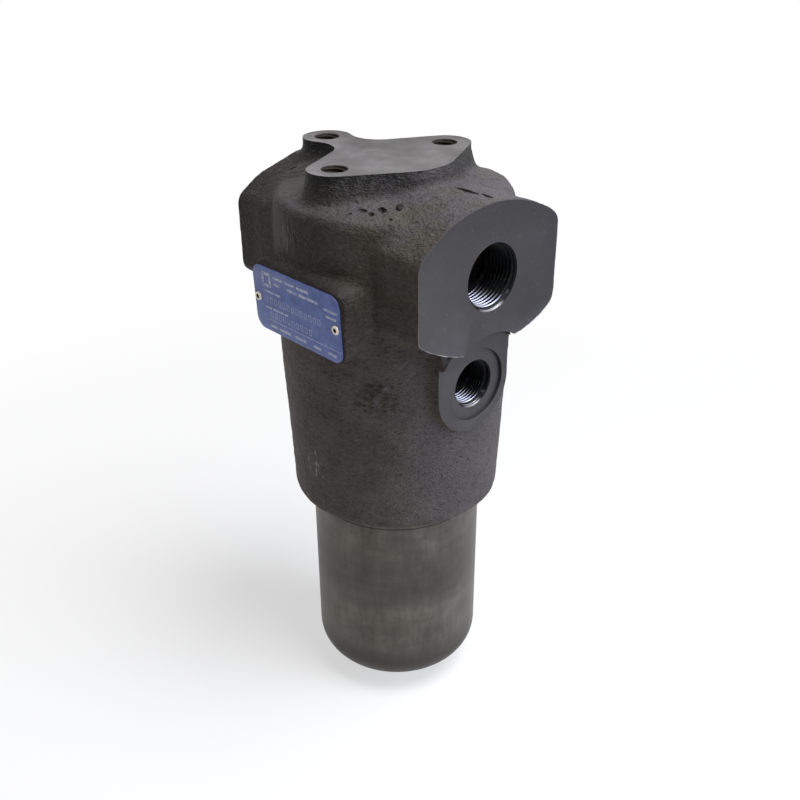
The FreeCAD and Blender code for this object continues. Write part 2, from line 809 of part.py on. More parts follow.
def make_bowl_seals():
    """The pressure side is above: the O-ring lies on top of its backup ring."""
    backup = new_body("bowl_backup_ring")
    low = groove_bottom + S.ring_clearance
    outer = neck_radius - S.ring_clearance / 3
    turned(backup, "backup_turning", ring_outline(seal_inner, outer, low, low + S.backup_ring_height))
    middle = low + S.backup_ring_height + S.ring_clearance + S.bowl_ring_section / 2
    seal_ring("bowl_o_ring", middle, seal_inner, S.bowl_ring_section)


def make_carrier():
    """Turned carrier in the head's partition: element spigot below, bypass seat and stem above."""
    body = new_body("valve_carrier")
    outer = S.outlet_radius - S.carrier_clearance
    ring_low = chamber_top + S.flange_height / 4
    clip_radius = S.stem_radius - S.circlip_depth
    turned(body, "carrier_turning", [
        (S.stem_bore, flange_bottom - S.spigot_length),
        (S.stem_radius - S.edge_chamfer, flange_bottom - S.spigot_length),
        (S.stem_radius, flange_bottom - S.spigot_length + S.edge_chamfer),
        (S.stem_radius, flange_bottom),
        (S.flange_radius, flange_bottom),
        (S.flange_radius, chamber_top),
        (outer, chamber_top),
        (outer, ring_low),
        (outer - S.carrier_groove_depth, ring_low),
        (outer - S.carrier_groove_depth, ring_low + S.carrier_groove_height),
        (outer, ring_low + S.carrier_groove_height),
        (outer, seat_top),
        (S.stem_radius, seat_top),
        (S.stem_radius, circlip_bottom),
        (clip_radius, circlip_bottom),
        (clip_radius, circlip_bottom + S.circlip_height),
        (S.stem_radius, circlip_bottom + S.circlip_height),
        (S.stem_radius, stem_top - S.edge_chamfer),
        (S.stem_radius - S.edge_chamfer, stem_top),
        (S.stem_bore, stem_top),
    ])
    hole = solid(
        body, "SubtractiveCylinder", "bypass_hole", (S.bypass_hole_circle, 0, flange_bottom),
        Radius=S.bypass_hole_radius, Height=seat_top - flange_bottom)
    doc.recompute()
    repeated(body, "bypass_holes", hole, S.bypass_hole_count)
    seal_ring(
        "carrier_o_ring", ring_low + S.carrier_groove_height / 2,
        outer - S.carrier_groove_depth + S.carrier_clearance, S.carrier_ring_section)


def make_bypass_valve():
    """Ring plate on the carrier's stem, its spring, and the retainer and circlip that hold them."""
    bore = S.stem_radius + S.plate_clearance
    guide = bore + S.guide_wall
    plate = new_body("bypass_plate")
    turned(plate, "plate_turning", [
        (bore, seat_top),
        (S.bypass_plate_radius, seat_top),
        (S.bypass_plate_radius, plate_top),
        (guide, plate_top),
        (guide, plate_top + S.guide_height),
        (bore, plate_top + S.guide_height),
    ])
    retainer = new_body("spring_retainer")
    turned(retainer, "retainer_turning", [
        (bore, retainer_bottom - S.retainer_spigot),
        (guide, retainer_bottom - S.retainer_spigot),
        (guide, retainer_bottom),
        (S.retainer_radius, retainer_bottom),
        (S.retainer_radius, circlip_bottom),
        (bore, circlip_bottom),
    ])
    clip_inner = S.stem_radius - S.circlip_depth + S.carrier_clearance
    clip = new_body("retainer_circlip")
    turned(clip, "circlip_turning", ring_outline(
        clip_inner, clip_inner + S.circlip_width, circlip_bottom, circlip_bottom + S.circlip_height))
    solid(
        clip, "SubtractiveBox", "circlip_opening", (0, -S.circlip_gap / 2, circlip_bottom),
        Length=S.retainer_radius, Width=S.circlip_gap, Height=S.circlip_height)
    spring = new_body("bypass_spring")
    start = plate_top + S.spring_wire / 2
    sketch = spring.newObject("Sketcher::SketchObject", "spring_wire_section")
    sketch.AttachmentSupport = [(origin_plane(spring, "XZ_Plane"), "")]
    sketch.MapMode = "FlatFace"
    sketch.addGeometry(Part.Circle(
        Vector(S.spring_radius.value, start.value, 0), Vector(0, 0, 1), S.spring_wire.value / 2), False)
    sketch.addConstraint([
        Sketcher.Constraint("DistanceX", -1, 1, 0, 3, S.spring_radius.value),
        Sketcher.Constraint("DistanceY", -1, 1, 0, 3, start.value),
        Sketcher.Constraint("Radius", 0, S.spring_wire.value / 2),
    ])
    for index, value in enumerate((S.spring_radius, start, S.spring_wire / 2)):
        sketch.setExpression(f"Constraints[{index}]", value.words)
    coil = spring.newObject("PartDesign::AdditiveHelix", "spring_coil")
    coil.Profile = sketch
    coil.ReferenceAxis = (sketch, ["V_Axis"])
    coil.Mode = "height-turns-angle"
    bind(coil, Height=S.spring_length - S.spring_wire, Turns=S.spring_turns)


def make_element():
    """Exchangeable element: two end caps, perforated core, pleated pack, outer sleeve and its O-ring."""
    bore = S.stem_radius + S.element_clearance
    collar = S.core_radius - S.core_wall - S.element_clearance
    disc_bottom = element_top - S.cap_disc
    rim_inner = S.element_radius - S.cap_rim
    groove = S.element_ring_section + S.element_clearance
    ring_middle = element_top - S.element_ring_drop
    top = new_body("element_top_cap")
    turned(top, "top_cap_turning", [
        (bore, element_top - S.cap_collar_depth),
        (collar, element_top - S.cap_collar_depth),
        (collar, disc_bottom),
        (rim_inner, disc_bottom),
        (rim_inner, element_top - S.cap_height),
        (S.element_radius, element_top - S.cap_height),
        (S.element_radius, element_top),
        (bore, element_top),
        (bore, ring_middle + groove / 2),
        (bore + groove, ring_middle + groove / 2),
        (bore + groove, ring_middle - groove / 2),
        (bore, ring_middle - groove / 2),
    ])
    seal_ring(
        "element_o_ring", ring_middle, S.stem_radius + S.element_clearance / 2, S.element_ring_section)
    bottom = new_body("element_bottom_cap")
    core_inner = S.core_radius - S.core_wall
    turned(bottom, "bottom_cap_turning", [
        (0, element_bottom),
        (S.element_radius, element_bottom),
        (S.element_radius, element_bottom + S.cap_height),
        (rim_inner, element_bottom + S.cap_height),
        (rim_inner, element_bottom + S.cap_disc),
        (core_inner - S.element_clearance, element_bottom + S.cap_disc),
        (core_inner - S.element_clearance, element_bottom + S.cap_disc * 2),
        (0, element_bottom + S.cap_disc * 2),
    ])
    low, high = element_bottom + S.cap_disc, disc_bottom
    core = new_body("element_core_tube")
    turned(core, "core_turning", ring_outline(core_inner, S.core_radius, low, high))
    make_core_holes(core, low, high)
    sleeve = new_body("element_outer_sleeve")
    turned(sleeve, "sleeve_turning", ring_outline(
        S.sleeve_radius - S.sleeve_wall, S.sleeve_radius, low, high))
    make_pleats(low, high)


def make_core_holes(core, low, high):
    """Rows of round holes, evenly up and round the tube."""
    spacing = (high - low) / (S.core_hole_rows + 1)
    hole = solid(
        core, "SubtractiveCylinder", "core_hole", (0, 0, low + spacing), "X",
        Radius=S.core_hole_radius, Height=S.element_radius)
    doc.recompute()
    pattern = core.newObject("PartDesign::MultiTransform", "core_holes")
    pattern.Originals = [hole]
    upwards = core.newObject("PartDesign::LinearPattern", "core_hole_rows_up")
    upwards.Direction = (origin_plane(core, "Z_Axis"), [""])
    upwards.Mode = "Spacing"
    bind(upwards, Offset=spacing, Occurrences=S.core_hole_rows)
    around = core.newObject("PartDesign::PolarPattern", "core_holes_round")
    around.Axis = (origin_plane(core, "Z_Axis"), [""])
    around.Angle = 360
    bind(around, Occurrences=S.core_hole_columns)
    pattern.Transformations = [upwards, around]
    core.Tip = pattern


def make_pleats(low, high):
    """One folded sheet: an outer and an inner zigzag, closed into a ring."""
    count = int(S.pleat_count.value)
    outer = S.sleeve_radius.value - S.sleeve_wall.value - S.element_clearance.value
    inner = S.core_radius.value + S.element_clearance.value
    sheet_depth = S.pleat_sheet.value
    step = math.pi / count

    def zigzag(peak, valley):
        points = [
            unit(step * i) * (peak if i % 2 == 0 else valley) + Vector(0, 0, low.value)
            for i in range(2 * count)]
        return Part.makePolygon(points + points[:1])

    # The sheet's thickness along a radius is larger than across it, by the slope of its folds.
    fold = math.hypot(outer - inner, step * (outer + inner) / 2) / (step * (outer + inner) / 2)
    shift = min(sheet_depth * fold, (outer - inner) / 2)
    skin = Part.Face(zigzag(outer, inner + shift)).cut(Part.Face(zigzag(outer - shift, inner)))
    pleats = doc.addObject("Part::Feature", "element_pleats")
    pleats.Shape = skin.extrude(Vector(0, 0, high.value - low.value))
    pleats.Placement = Placement()


make_head()
make_nameplate()
make_rivets()
make_bowl()
make_bowl_seals()
make_carrier()
make_bypass_valve()
make_element()
doc.recompute()

NODES = [
    "filter_head", "nameplate", "nameplate_rivets", "filter_bowl", "bowl_o_ring", "bowl_backup_ring",
    "valve_carrier", "carrier_o_ring", "bypass_plate", "bypass_spring", "spring_retainer",
    "retainer_circlip", "element_top_cap", "element_bottom_cap", "element_core_tube", "element_pleats",
    "element_outer_sleeve", "element_o_ring",
]

for thing in doc.Objects:
    if "Invalid" in thing.State or "Error" in thing.State:
        raise RuntimeError(f"{thing.Label} failed: {thing.State}")
for name in NODES:
    shape = doc.getObject(name).Shape
    if shape.isNull() or not shape.isValid():
        raise RuntimeError(f"{name} is not a valid shape")

os.makedirs("parts", exist_ok=True)
for name in NODES:
    shape = doc.getObject(name).Shape
    shape.exportStep(f"parts/{name}.step")
    print(f"{name}: {len(shape.Solids)} solid(s), {shape.Volume:.0f} mm3")
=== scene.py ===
# %% [markdown]
# A high-pressure in-line filter, dressed in Blender. The frame holds the exact solids that the
# machine drawings give. Here each visible piece gets its surface: the head is a sand casting with
# machined faces, the bowl is turned steel, and a blue plate is riveted to the head.
# Blender works in metres. MM turns millimetres into them, and a function that takes millimetres
# says so.

# %% Load the frame
import math

import bmesh
import bpy
from mathutils import Matrix, Vector, noise


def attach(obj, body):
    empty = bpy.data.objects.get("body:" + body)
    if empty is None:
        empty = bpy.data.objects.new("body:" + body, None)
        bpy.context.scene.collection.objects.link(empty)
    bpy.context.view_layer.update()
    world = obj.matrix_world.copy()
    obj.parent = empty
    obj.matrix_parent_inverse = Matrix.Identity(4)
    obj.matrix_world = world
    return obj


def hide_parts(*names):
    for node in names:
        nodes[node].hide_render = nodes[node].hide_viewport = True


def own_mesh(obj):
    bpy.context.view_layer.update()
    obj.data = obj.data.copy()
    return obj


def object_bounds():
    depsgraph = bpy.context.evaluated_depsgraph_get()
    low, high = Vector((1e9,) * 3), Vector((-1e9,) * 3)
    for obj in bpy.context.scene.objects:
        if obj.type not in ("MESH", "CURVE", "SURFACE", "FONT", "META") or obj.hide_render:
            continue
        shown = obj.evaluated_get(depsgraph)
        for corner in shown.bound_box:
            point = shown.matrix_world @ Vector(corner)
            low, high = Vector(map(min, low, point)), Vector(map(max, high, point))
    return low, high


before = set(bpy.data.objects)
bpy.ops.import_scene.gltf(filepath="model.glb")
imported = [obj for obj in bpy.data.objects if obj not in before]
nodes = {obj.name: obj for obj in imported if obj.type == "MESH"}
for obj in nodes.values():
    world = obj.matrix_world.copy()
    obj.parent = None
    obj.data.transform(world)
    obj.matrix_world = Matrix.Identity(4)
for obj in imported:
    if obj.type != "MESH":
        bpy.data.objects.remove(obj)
cad_low, cad_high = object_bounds()
MM = 0.001
print("frame:", len(nodes), "nodes, height", round((cad_high.z - cad_low.z) / MM, 1), "mm")

# %% [markdown]
# The places below repeat the drawing's main dimensions, so that a machined face in the scene lies
# where the solid has it. The port axis runs along X, and the bowl's axis is Z. A thread is given
# by the radius of its bore or shaft, the radius of its crest and its pitch, in millimetres.

# %% Dimensions of the filter
HEAD_BOTTOM = 106.7 * MM
PORT_AXIS = 221.2 * MM
INDICATOR_AXIS = 171.8 * MM
PAD_TOP = 257.7 * MM
HALF_FACE = 56.8 * MM
POCKET_FACE = 49.5 * MM
SEAT_FACE = 48.1 * MM
PLATE_FACE = -52.5 * MM
PLATE_MIDDLE = Vector((0.9 * MM, PLATE_FACE, 205.6 * MM))
GATE = Vector((30.5 * MM, -37.5 * MM, 172.0 * MM))
RIBS = Vector((-9.0 * MM, -48.5 * MM, 233.0 * MM))
KNOCK = Vector((0.9 * MM, -48.2 * MM, 131.5 * MM))
RIVET_AXIS = 204.6 * MM
RIVET_SPACING = 50.4 * MM
PAD_HOLES = [(-1.0 * MM, -30.0 * MM), (-1.0 * MM, 30.0 * MM), (-42.9 * MM, 0.0)]
PORT_THREAD = (13.25, 12.15, 1.814)
INDICATOR_THREAD = (10.05, 9.15, 1.5)
PAD_THREAD = (5.05, 4.25, 1.5)
HEAD_THREAD = (38.0, 37.2, 2.0)
BOWL_THREAD = (36.7, 37.9, 2.0)

# %% [markdown]
# A colour is easiest to read as the hex number that a picture editor shows. Blender's shaders want
# linear light, so one function turns one into the other.


# %% Colours
def linear(hex_colour):
    """The linear RGBA of an sRGB hex colour."""
    channels = [int(hex_colour[i:i + 2], 16) / 255 for i in (1, 3, 5)]
    lit = [c / 12.92 if c <= 0.04045 else ((c + 0.055) / 1.055) ** 2.4 for c in channels]
    return (*lit, 1.0)


# %% [markdown]
# Every finish is a small net of shader nodes. One helper adds a node with its settings, another
# fills its inputs, so that a net reads like a recipe. Inputs are named, or listed in their order:
# a Map Range takes a value, the two ends that it comes from and the two ends that it goes to.


# %% One node at a time
def fill(tree, node, inputs):
    """Fills inputs with a value, a hex colour, another node, or one of another node's outputs."""
    for name, value in inputs.items() if isinstance(inputs, dict) else enumerate(inputs):
        if isinstance(value, str):
            value = linear(value)
        if isinstance(value, bpy.types.Node):
            value = next(socket for socket in value.outputs if socket.enabled)
        if isinstance(value, bpy.types.NodeSocket):
            tree.links.new(value, node.inputs[name])
        else:
            node.inputs[name].default_value = value


def add(tree, kind, inputs=(), stops=(), **settings):
    """A node of the tree, with its settings, its inputs and the stops of its colour ramp."""
    made = tree.nodes.new(kind)
    for name, value in settings.items():
        setattr(made, name, value)
    fill(tree, made, inputs)
    if stops:
        ramp = made.color_ramp
        while len(ramp.elements) < len(stops):
            ramp.elements.new(0.5)
        for element, (place, colour) in zip(ramp.elements, stops):
            element.position = place
            element.color = linear(colour) if isinstance(colour, str) else (colour, colour, colour, 1.0)
    return made


def new_finish(name):
    """A material: its tree, its Principled shader and the object's own coordinates."""
    made = bpy.data.materials.new(name)
    made.use_nodes = True
    tree = made.node_tree
    print("finish:", name)
    return made, tree, tree.nodes["Principled BSDF"], add(tree, "ShaderNodeTexCoord").outputs["Object"]


def per(millimetres):
    """The scale of a texture whose features are that far apart."""
    return 1.0 / (millimetres * MM)


# %% [markdown]
# Grey cast iron from a sand mould is dark and brown-grey, with a fine sandy grain that the sand
# left behind. Its relief is several noises, one laid over the other: grains of about 1 and 2 mm,
# drawn a little coarse so that they show from a metre away, and flat wrinkles. Round the broken
# gate and on one rib the skin is torn or ribbed instead, and one spot low on the body is knocked.

# %% Sand-cast iron: relief
cast_iron, tree, shader, place = new_finish("sand_cast_iron")
noises = {}
for name, stretch, size_mm, detail, roughness in [
        ("grain", (0.9, 0.9, 1.6), 2.2, 3.0, 0.62),
        ("sand", (0.9, 0.9, 1.6), 1.1, 2.0, 0.6),
        ("wrinkles", (0.7, 0.7, 2.2), 4.5, 4.0, 0.7),
        ("tears", (0.8, 0.8, 2.0), 2.4, 3.0, 0.6),
        ("ribs", (1.2, 1.2, 0.3), 1.8, 2.0, 0.5),
        ("scratches", (1.0, 1.0, 0.45), 2.4, 3.0, 0.6)]:
    stretched = add(tree, "ShaderNodeMapping", {"Vector": place, "Scale": stretch})
    noises[name] = add(tree, "ShaderNodeTexNoise", {
        "Vector": stretched, "Scale": per(size_mm), "Detail": detail, "Roughness": roughness})
near = {}
for name, point, inner_mm, outer_mm in [
        ("gate", GATE, 7, 12), ("ribs", RIBS, 5, 10), ("knock", KNOCK, 3, 9)]:
    away = add(tree, "ShaderNodeVectorMath", [place, tuple(point)], operation="DISTANCE")
    near[name] = add(tree, "ShaderNodeMapRange", [away, inner_mm * MM, outer_mm * MM, 1.0, 0.0])
relief = noises["grain"]
for share, layer in [
        (0.4, "sand"), (0.25, "wrinkles"),
        (add(tree, "ShaderNodeMath", [near["gate"], 0.7], operation="MULTIPLY"), "tears"),
        (add(tree, "ShaderNodeMath", [near["ribs"], 0.8], operation="MULTIPLY"), "ribs")]:
    over = {"Factor": share, "A": relief, "B": noises[layer]}
    relief = add(tree, "ShaderNodeMix", over, data_type="FLOAT")
at_gate = add(tree, "ShaderNodeMapRange", [near["gate"], 0.0, 1.0, 1.9 * MM, 4.0 * MM])
at_ribs = add(tree, "ShaderNodeMath", [near["ribs"], 3.0 * MM], operation="MULTIPLY")
deeper = add(tree, "ShaderNodeMath", [at_gate, at_ribs], operation="ADD")
rough_skin = add(tree, "ShaderNodeBump", {"Strength": 1.0, "Distance": deeper, "Height": relief})

# %% [markdown]
# The colour is laid on in coats: oil that seeped over the upper half, dust with a painted bluish
# sheen on what faces up, a painted cold sheen on the side towards the outlet, painted shade on the
# inlet side and under the pad's neck, and a darker coat above the plate. Each coat has a share that
# says where it lies, from the height, the side or the way that the surface faces. Lighter peaks,
# partly rubbed and partly painted highlight, and painted shade in the hollows come last.

# %% Sand-cast iron: coats
where = add(tree, "ShaderNodeSeparateXYZ", [place])
facing = add(tree, "ShaderNodeSeparateXYZ", [add(tree, "ShaderNodeNewGeometry").outputs["Normal"]])
clouds, seepage = [add(tree, "ShaderNodeTexNoise", {
    "Vector": place, "Scale": per(size_mm), "Detail": detail, "Roughness": roughness})
    for size_mm, detail, roughness in [(15, 5.0, 0.62), (26, 4.0, 0.6)]]
bare_iron = add(tree, "ShaderNodeValToRGB", [clouds], [
    (0.30, "#3d3732"), (0.50, "#47413b"), (0.68, "#524b45")])
# The dust coat's tones hold dust and a painted bluish sheen.
dust_and_blue_sheen = add(tree, "ShaderNodeValToRGB", [seepage], [(0.42, "#595b6b"), (0.58, "#5e5c5b")])
shares = {}
# The share for the inlet end paints shade on the side away from the lamps.
for name, value, *ends in [
        ("upper", where.outputs["Z"], 185 * MM, 225 * MM, 0.0, 0.7),
        ("dust and sheen", facing.outputs["Z"], 0.3, 0.9, 0.0, 0.32),
        ("outlet side", facing.outputs["X"], 0.6, 1.0, 0.0, 0.45),
        ("off the plate", where.outputs["Y"], -42 * MM, -34 * MM, 0.0, 1.0),
        ("inlet side shade", where.outputs["X"], -8 * MM, -46 * MM, 0.0, 0.9),
        ("plate side", where.outputs["Y"], -42 * MM, -51 * MM, 0.0, 1.0),
        ("neck", where.outputs["Z"], 240 * MM, 256 * MM, 0.0, 1.0),
        ("steep", facing.outputs["Z"], 0.99, 0.5, 0.0, 1.0),
        ("turned away", facing.outputs["X"], 0.98, 0.8, 0.1, 1.0)]:
    shares[name] = add(tree, "ShaderNodeMapRange", [value, *ends])
shares["seeped"] = add(tree, "ShaderNodeMapRange", [seepage, 0.42, 0.60, 0.0, shares["upper"]])
# The outlet side's share paints a cold bluish sheen on the side turned to the right-hand lamp.
for name, first, second in [
        ("painted_lit_side", "outlet side", "off the plate"), ("above the plate", "plate side", "upper"),
        ("steep neck", "steep", "turned away"), ("shade under the pad", "neck", "steep neck")]:
    shares[name] = add(tree, "ShaderNodeMath", [shares[first], shares[second]], operation="MULTIPLY")
# Peaks get a lighter tone, partly rubbed iron and partly painted highlight; hollows get painted shade.
patch = add(tree, "ShaderNodeMath", [near["ribs"], near["gate"]], operation="MAXIMUM")
rubbed_and_highlit = add(tree, "ShaderNodeMapRange", [patch, 0.0, 1.0, 0.35, 0.9])
shares["peaks"] = add(tree, "ShaderNodeMapRange", [relief, 0.53, 0.68, 0.0, rubbed_and_highlit])
shallow = add(tree, "ShaderNodeMapRange", [near["gate"], 0.0, 1.0, 0.475, 0.505])
hollow_shade = add(tree, "ShaderNodeMapRange", [near["gate"], 0.0, 1.0, 0.6, 0.85])
shares["shaded hollows"] = add(tree, "ShaderNodeMapRange", [relief, 0.36, shallow, hollow_shade, 0.0])
knocked = add(tree, "ShaderNodeMath", [near["knock"], 0.75], operation="MULTIPLY")
shares["scratched"] = add(tree, "ShaderNodeMapRange", [noises["scratches"], 0.55, 0.64, 0.0, knocked])
# The coat above the plate darkens the plate's side of the upper wall.
colour = bare_iron
# The near-black coat at the pad's neck is painted shade under the pad's edge.
for coat, tone in [
        ("seeped", "#39342a"), ("dust and sheen", dust_and_blue_sheen), ("painted_lit_side", "#515055"), ("inlet side shade", "#191512"),
        ("above the plate", "#15120f"), ("shade under the pad", "#09090a"), ("peaks", "#63605c"),
        ("shaded hollows", "#161312"), ("scratched", "#9a958e")]:
    colour = add(tree, "ShaderNodeMix", {"Factor": shares[coat], "A": colour, "B": tone}, data_type="RGBA")
fill(tree, shader, {
    "Base Color": colour, "Normal": rough_skin, "Roughness": 0.55, "Specular IOR Level": 0.15})

# %% [markdown]
# Where a cutter has run over the iron it is smooth and blue-grey, with cutter lines too fine to
# count. A few pale specks are graphite pores that caught polish. The port faces take a darker copy of
# the finish, which is painted shade, darker still towards the top, and smudges round the mouths of
# the ports.


# %% Milled iron
def milled_finish(name, dark, middle, light, darkening):
    """Milled iron in three tones; a share darkens it with painted shade towards the upper right and smudges
    it round the port mouths.
    """
    made, tree, shader, place = new_finish(name)
    cloud = add(tree, "ShaderNodeTexNoise", {
        "Vector": place, "Scale": per(17), "Detail": 6.0, "Roughness": 0.65})
    pores = add(tree, "ShaderNodeTexNoise", {
        "Vector": place, "Scale": per(1.3), "Detail": 2.0, "Roughness": 0.5})
    lines = add(tree, "ShaderNodeTexNoise", {"Vector": place, "Scale": per(0.35), "Detail": 0.0})
    toned = add(tree, "ShaderNodeValToRGB", [cloud], [(0.34, dark), (0.51, middle), (0.66, light)])
    # The slant paints shade that grows towards the upper right of a face.
    slant = add(tree, "ShaderNodeVectorMath", [place, (0.0, 0.6, 0.8)], operation="DOT_PRODUCT")
    shade_share = add(tree, "ShaderNodeMapRange", [slant, 138 * MM, 178 * MM, 0.0, darkening])
    shade_painted = add(tree, "ShaderNodeMix", {"Factor": shade_share, "A": toned, "B": "#252326"}, data_type="RGBA")
    pale = add(tree, "ShaderNodeMapRange", [pores, 0.69, 0.76, 0.0, 0.2])
    flecked = add(tree, "ShaderNodeMix", {"Factor": pale, "A": shade_painted, "B": "#85837f"}, data_type="RGBA")
    across = add(tree, "ShaderNodeMapping", {"Vector": place, "Scale": (0.0, 1.0, 1.0)})
    off_axis = add(tree, "ShaderNodeVectorMath", [across, (0.0, 0.0, PORT_AXIS)], operation="DISTANCE")
    at_mouth = add(tree, "ShaderNodeMapRange", [off_axis, 14 * MM, 20 * MM, darkening, 0.0])
    smudges = add(tree, "ShaderNodeMapRange", [cloud, 0.44, 0.60, 0.0, at_mouth])
    soiled = add(tree, "ShaderNodeMix", {"Factor": smudges, "A": flecked, "B": "#312d28"}, data_type="RGBA")
    cutter = add(tree, "ShaderNodeBump", {"Strength": 0.12, "Distance": 0.1 * MM, "Height": lines})
    fill(tree, shader, {"Base Color": soiled, "Normal": cutter, "Metallic": 0.35, "Roughness": 0.48})
    return made


milled_iron = milled_finish("milled_cast_iron", "#3d3938", "#514f50", "#676465", 0.0)
# The port faces take a darker copy of the milled iron: painted shade.
shaded_milled_face = milled_finish("shaded_port_face", "#323031", "#393738", "#413f40", 0.75)

# %% [markdown]
# A tapped hole is wet with oil and glossier than the face around it. Its near-black colour is
# partly that oil and partly painted shade inside the hole. What faces up to the light gets a bright,
# metallic painted highlight: the foot of each chamfer and, from a lower limit, the ridges of the
# thread.


# %% Tapped iron
def tapped_finish(name, dim_below, bright_above):
    """Oily iron, darkened with painted shade, with a painted highlight where its surface faces up more
    steeply than two limits.
    """
    made, tree, shader, place = new_finish(name)
    film = add(tree, "ShaderNodeTexNoise", {"Vector": place, "Scale": per(6), "Detail": 3.0})
    # The near-black film is oil together with painted shade in the hole.
    wet_and_shaded = add(tree, "ShaderNodeValToRGB", [film], [(0.35, "#101214"), (0.65, "#1b1c1e")])
    facing = add(tree, "ShaderNodeSeparateXYZ", [add(tree, "ShaderNodeNewGeometry").outputs["Normal"]])
    upward = add(tree, "ShaderNodeMapRange", [facing.outputs["Z"], dim_below, bright_above])
    # Upward faces get a bright painted highlight.
    painted_lit_side = add(tree, "ShaderNodeMix", {"Factor": upward, "A": wet_and_shaded, "B": "#a3a2a7"}, data_type="RGBA")
    fill(tree, shader, {
        "Base Color": painted_lit_side, "Metallic": upward, "Roughness": 0.34, "Specular IOR Level": 0.05})
    return made


tapped_iron = tapped_finish("oiled_tapped_iron_painted_light", 0.60, 0.74)
thread_flanks = tapped_finish("thread_flanks_painted_light", 0.34, 0.46)

# %% [markdown]
# Dirt and dried oil sit in the small dents of the casting and inside the rivets. The same finish
# paints the shadow along the plate's seam. It is nearly black, with a brown cast.

# %% Dried grime
grime_and_painted_shadow, tree, shader, place = new_finish("dried_oil_grime_and_painted_shadow")
spots = add(tree, "ShaderNodeTexNoise", {"Vector": place, "Scale": per(0.8), "Detail": 3.0})
brown = add(tree, "ShaderNodeValToRGB", [spots], [(0.35, "#141210"), (0.65, "#2d2722")])
fill(tree, shader, {"Base Color": brown, "Roughness": 0.7, "Specular IOR Level": 0.2})

# %% [markdown]
# An edge between a milled face and the rough skin gets knocked on the bench, and the bare metal
# shines there. The shine is patchy, because only the high spots are rubbed.

# %% Rubbed edges
rubbed_edge, tree, shader, place = new_finish("rubbed_iron_edge")
patches = add(tree, "ShaderNodeTexNoise", {
    "Vector": place, "Scale": per(5), "Detail": 3.0, "Roughness": 0.7})
bare = add(tree, "ShaderNodeValToRGB", [patches], [(0.46, "#4a494c"), (0.66, "#8b8884")])
where = add(tree, "ShaderNodeSeparateXYZ", [place])
upper = add(tree, "ShaderNodeMapRange", [where.outputs["Z"], 192 * MM, 215 * MM, 0.0, 0.85])
dull = add(tree, "ShaderNodeMix", {"Factor": upper, "A": bare, "B": "#48474a"}, data_type="RGBA")
fill(tree, shader, {"Base Color": dull, "Metallic": 0.2, "Roughness": 0.5})

# %% [markdown]
# Steel that is turned and then phosphated is a warm mid grey. Handling leaves it blotchy, and
# faint lines from the lathe and the cloth run over it. It is darker near its foot and in a belt
# round its middle.

# %% Phosphated turned steel
bowl_steel, tree, shader, place = new_finish("phosphated_turned_steel")
marks = {}
for name, stretch, size_mm, detail, roughness in [
        ("blotches", (1.0, 1.0, 0.45), 12, 6.0, 0.68),
        ("streaks", (0.25, 0.25, 1.0), 9, 4.0, 0.6),
        ("wipes", (1.0, 1.0, 0.12), 2.2, 3.0, 0.6)]:
    stretched = add(tree, "ShaderNodeMapping", {"Vector": place, "Scale": stretch})
    marks[name] = add(tree, "ShaderNodeTexNoise", {
        "Vector": stretched, "Scale": per(size_mm), "Detail": detail, "Roughness": roughness})
blend = marks["blotches"]
for share, layer in [(0.35, "streaks"), (0.12, "wipes")]:
    blend = add(tree, "ShaderNodeMix", {"Factor": share, "A": blend, "B": marks[layer]}, data_type="FLOAT")
steel_tone = add(tree, "ShaderNodeValToRGB", [blend], [
    (0.38, "#3f3b34"), (0.50, "#524e46"), (0.62, "#666258")])
where = add(tree, "ShaderNodeSeparateXYZ", [place])
height = add(tree, "ShaderNodeMapRange", [where.outputs["Z"], 0.0, 100 * MM])
# Darker near the foot and in a belt round the middle.
belt = add(tree, "ShaderNodeValToRGB", [height], [
    (0.08, 1.0), (0.22, 0.85), (0.34, 0.1), (0.52, 0.0), (0.64, 0.5), (0.76, 0.45), (0.90, 0.0)])
banded_tone = add(tree, "ShaderNodeMix", {"Factor": belt, "A": steel_tone, "B": "#302d29"}, data_type="RGBA")
satin = add(tree, "ShaderNodeMapRange", [marks["blotches"], 0.3, 0.7, 0.38, 0.56])
lathe_lines = add(tree, "ShaderNodeBump", {
    "Strength": 0.1, "Distance": 0.1 * MM, "Height": marks["streaks"]})
fill(tree, shader, {"Base Color": banded_tone, "Roughness": satin, "Normal": lathe_lines, "Metallic": 0.45})

# %% [markdown]
# The other pieces have plainer finishes: two tones that drift into each other, and a fine relief.
# Turned steel, spring wire, zinc-plated sheet and the drawn aluminium of the rivets are metals.
# Rubber, fluoropolymer and filter fleece aren't, and are set apart by how rough they are.


# %% Metals, rubber, plastic and fleece
def plain_finish(name, dark, light, roughness, grain_mm, metallic=0.9, drift_mm=9, relief=(2.0, 0.1, 0.05)):
    """A finish whose colour drifts between two tones; its relief is detail, strength and depth in mm."""
    made, tree, shader, place = new_finish(name)
    detail, strength, depth_mm = relief
    drift = add(tree, "ShaderNodeTexNoise", {"Vector": place, "Scale": per(drift_mm), "Detail": 4.0})
    tone = add(tree, "ShaderNodeValToRGB", [drift], [(0.35, dark), (0.65, light)])
    marks = add(tree, "ShaderNodeTexNoise", {"Vector": place, "Scale": per(grain_mm), "Detail": detail})
    bumps = add(tree, "ShaderNodeBump", {"Strength": strength, "Distance": depth_mm * MM, "Height": marks})
    fill(tree, shader, {"Base Color": tone, "Normal": bumps, "Metallic": metallic, "Roughness": roughness})
    return made


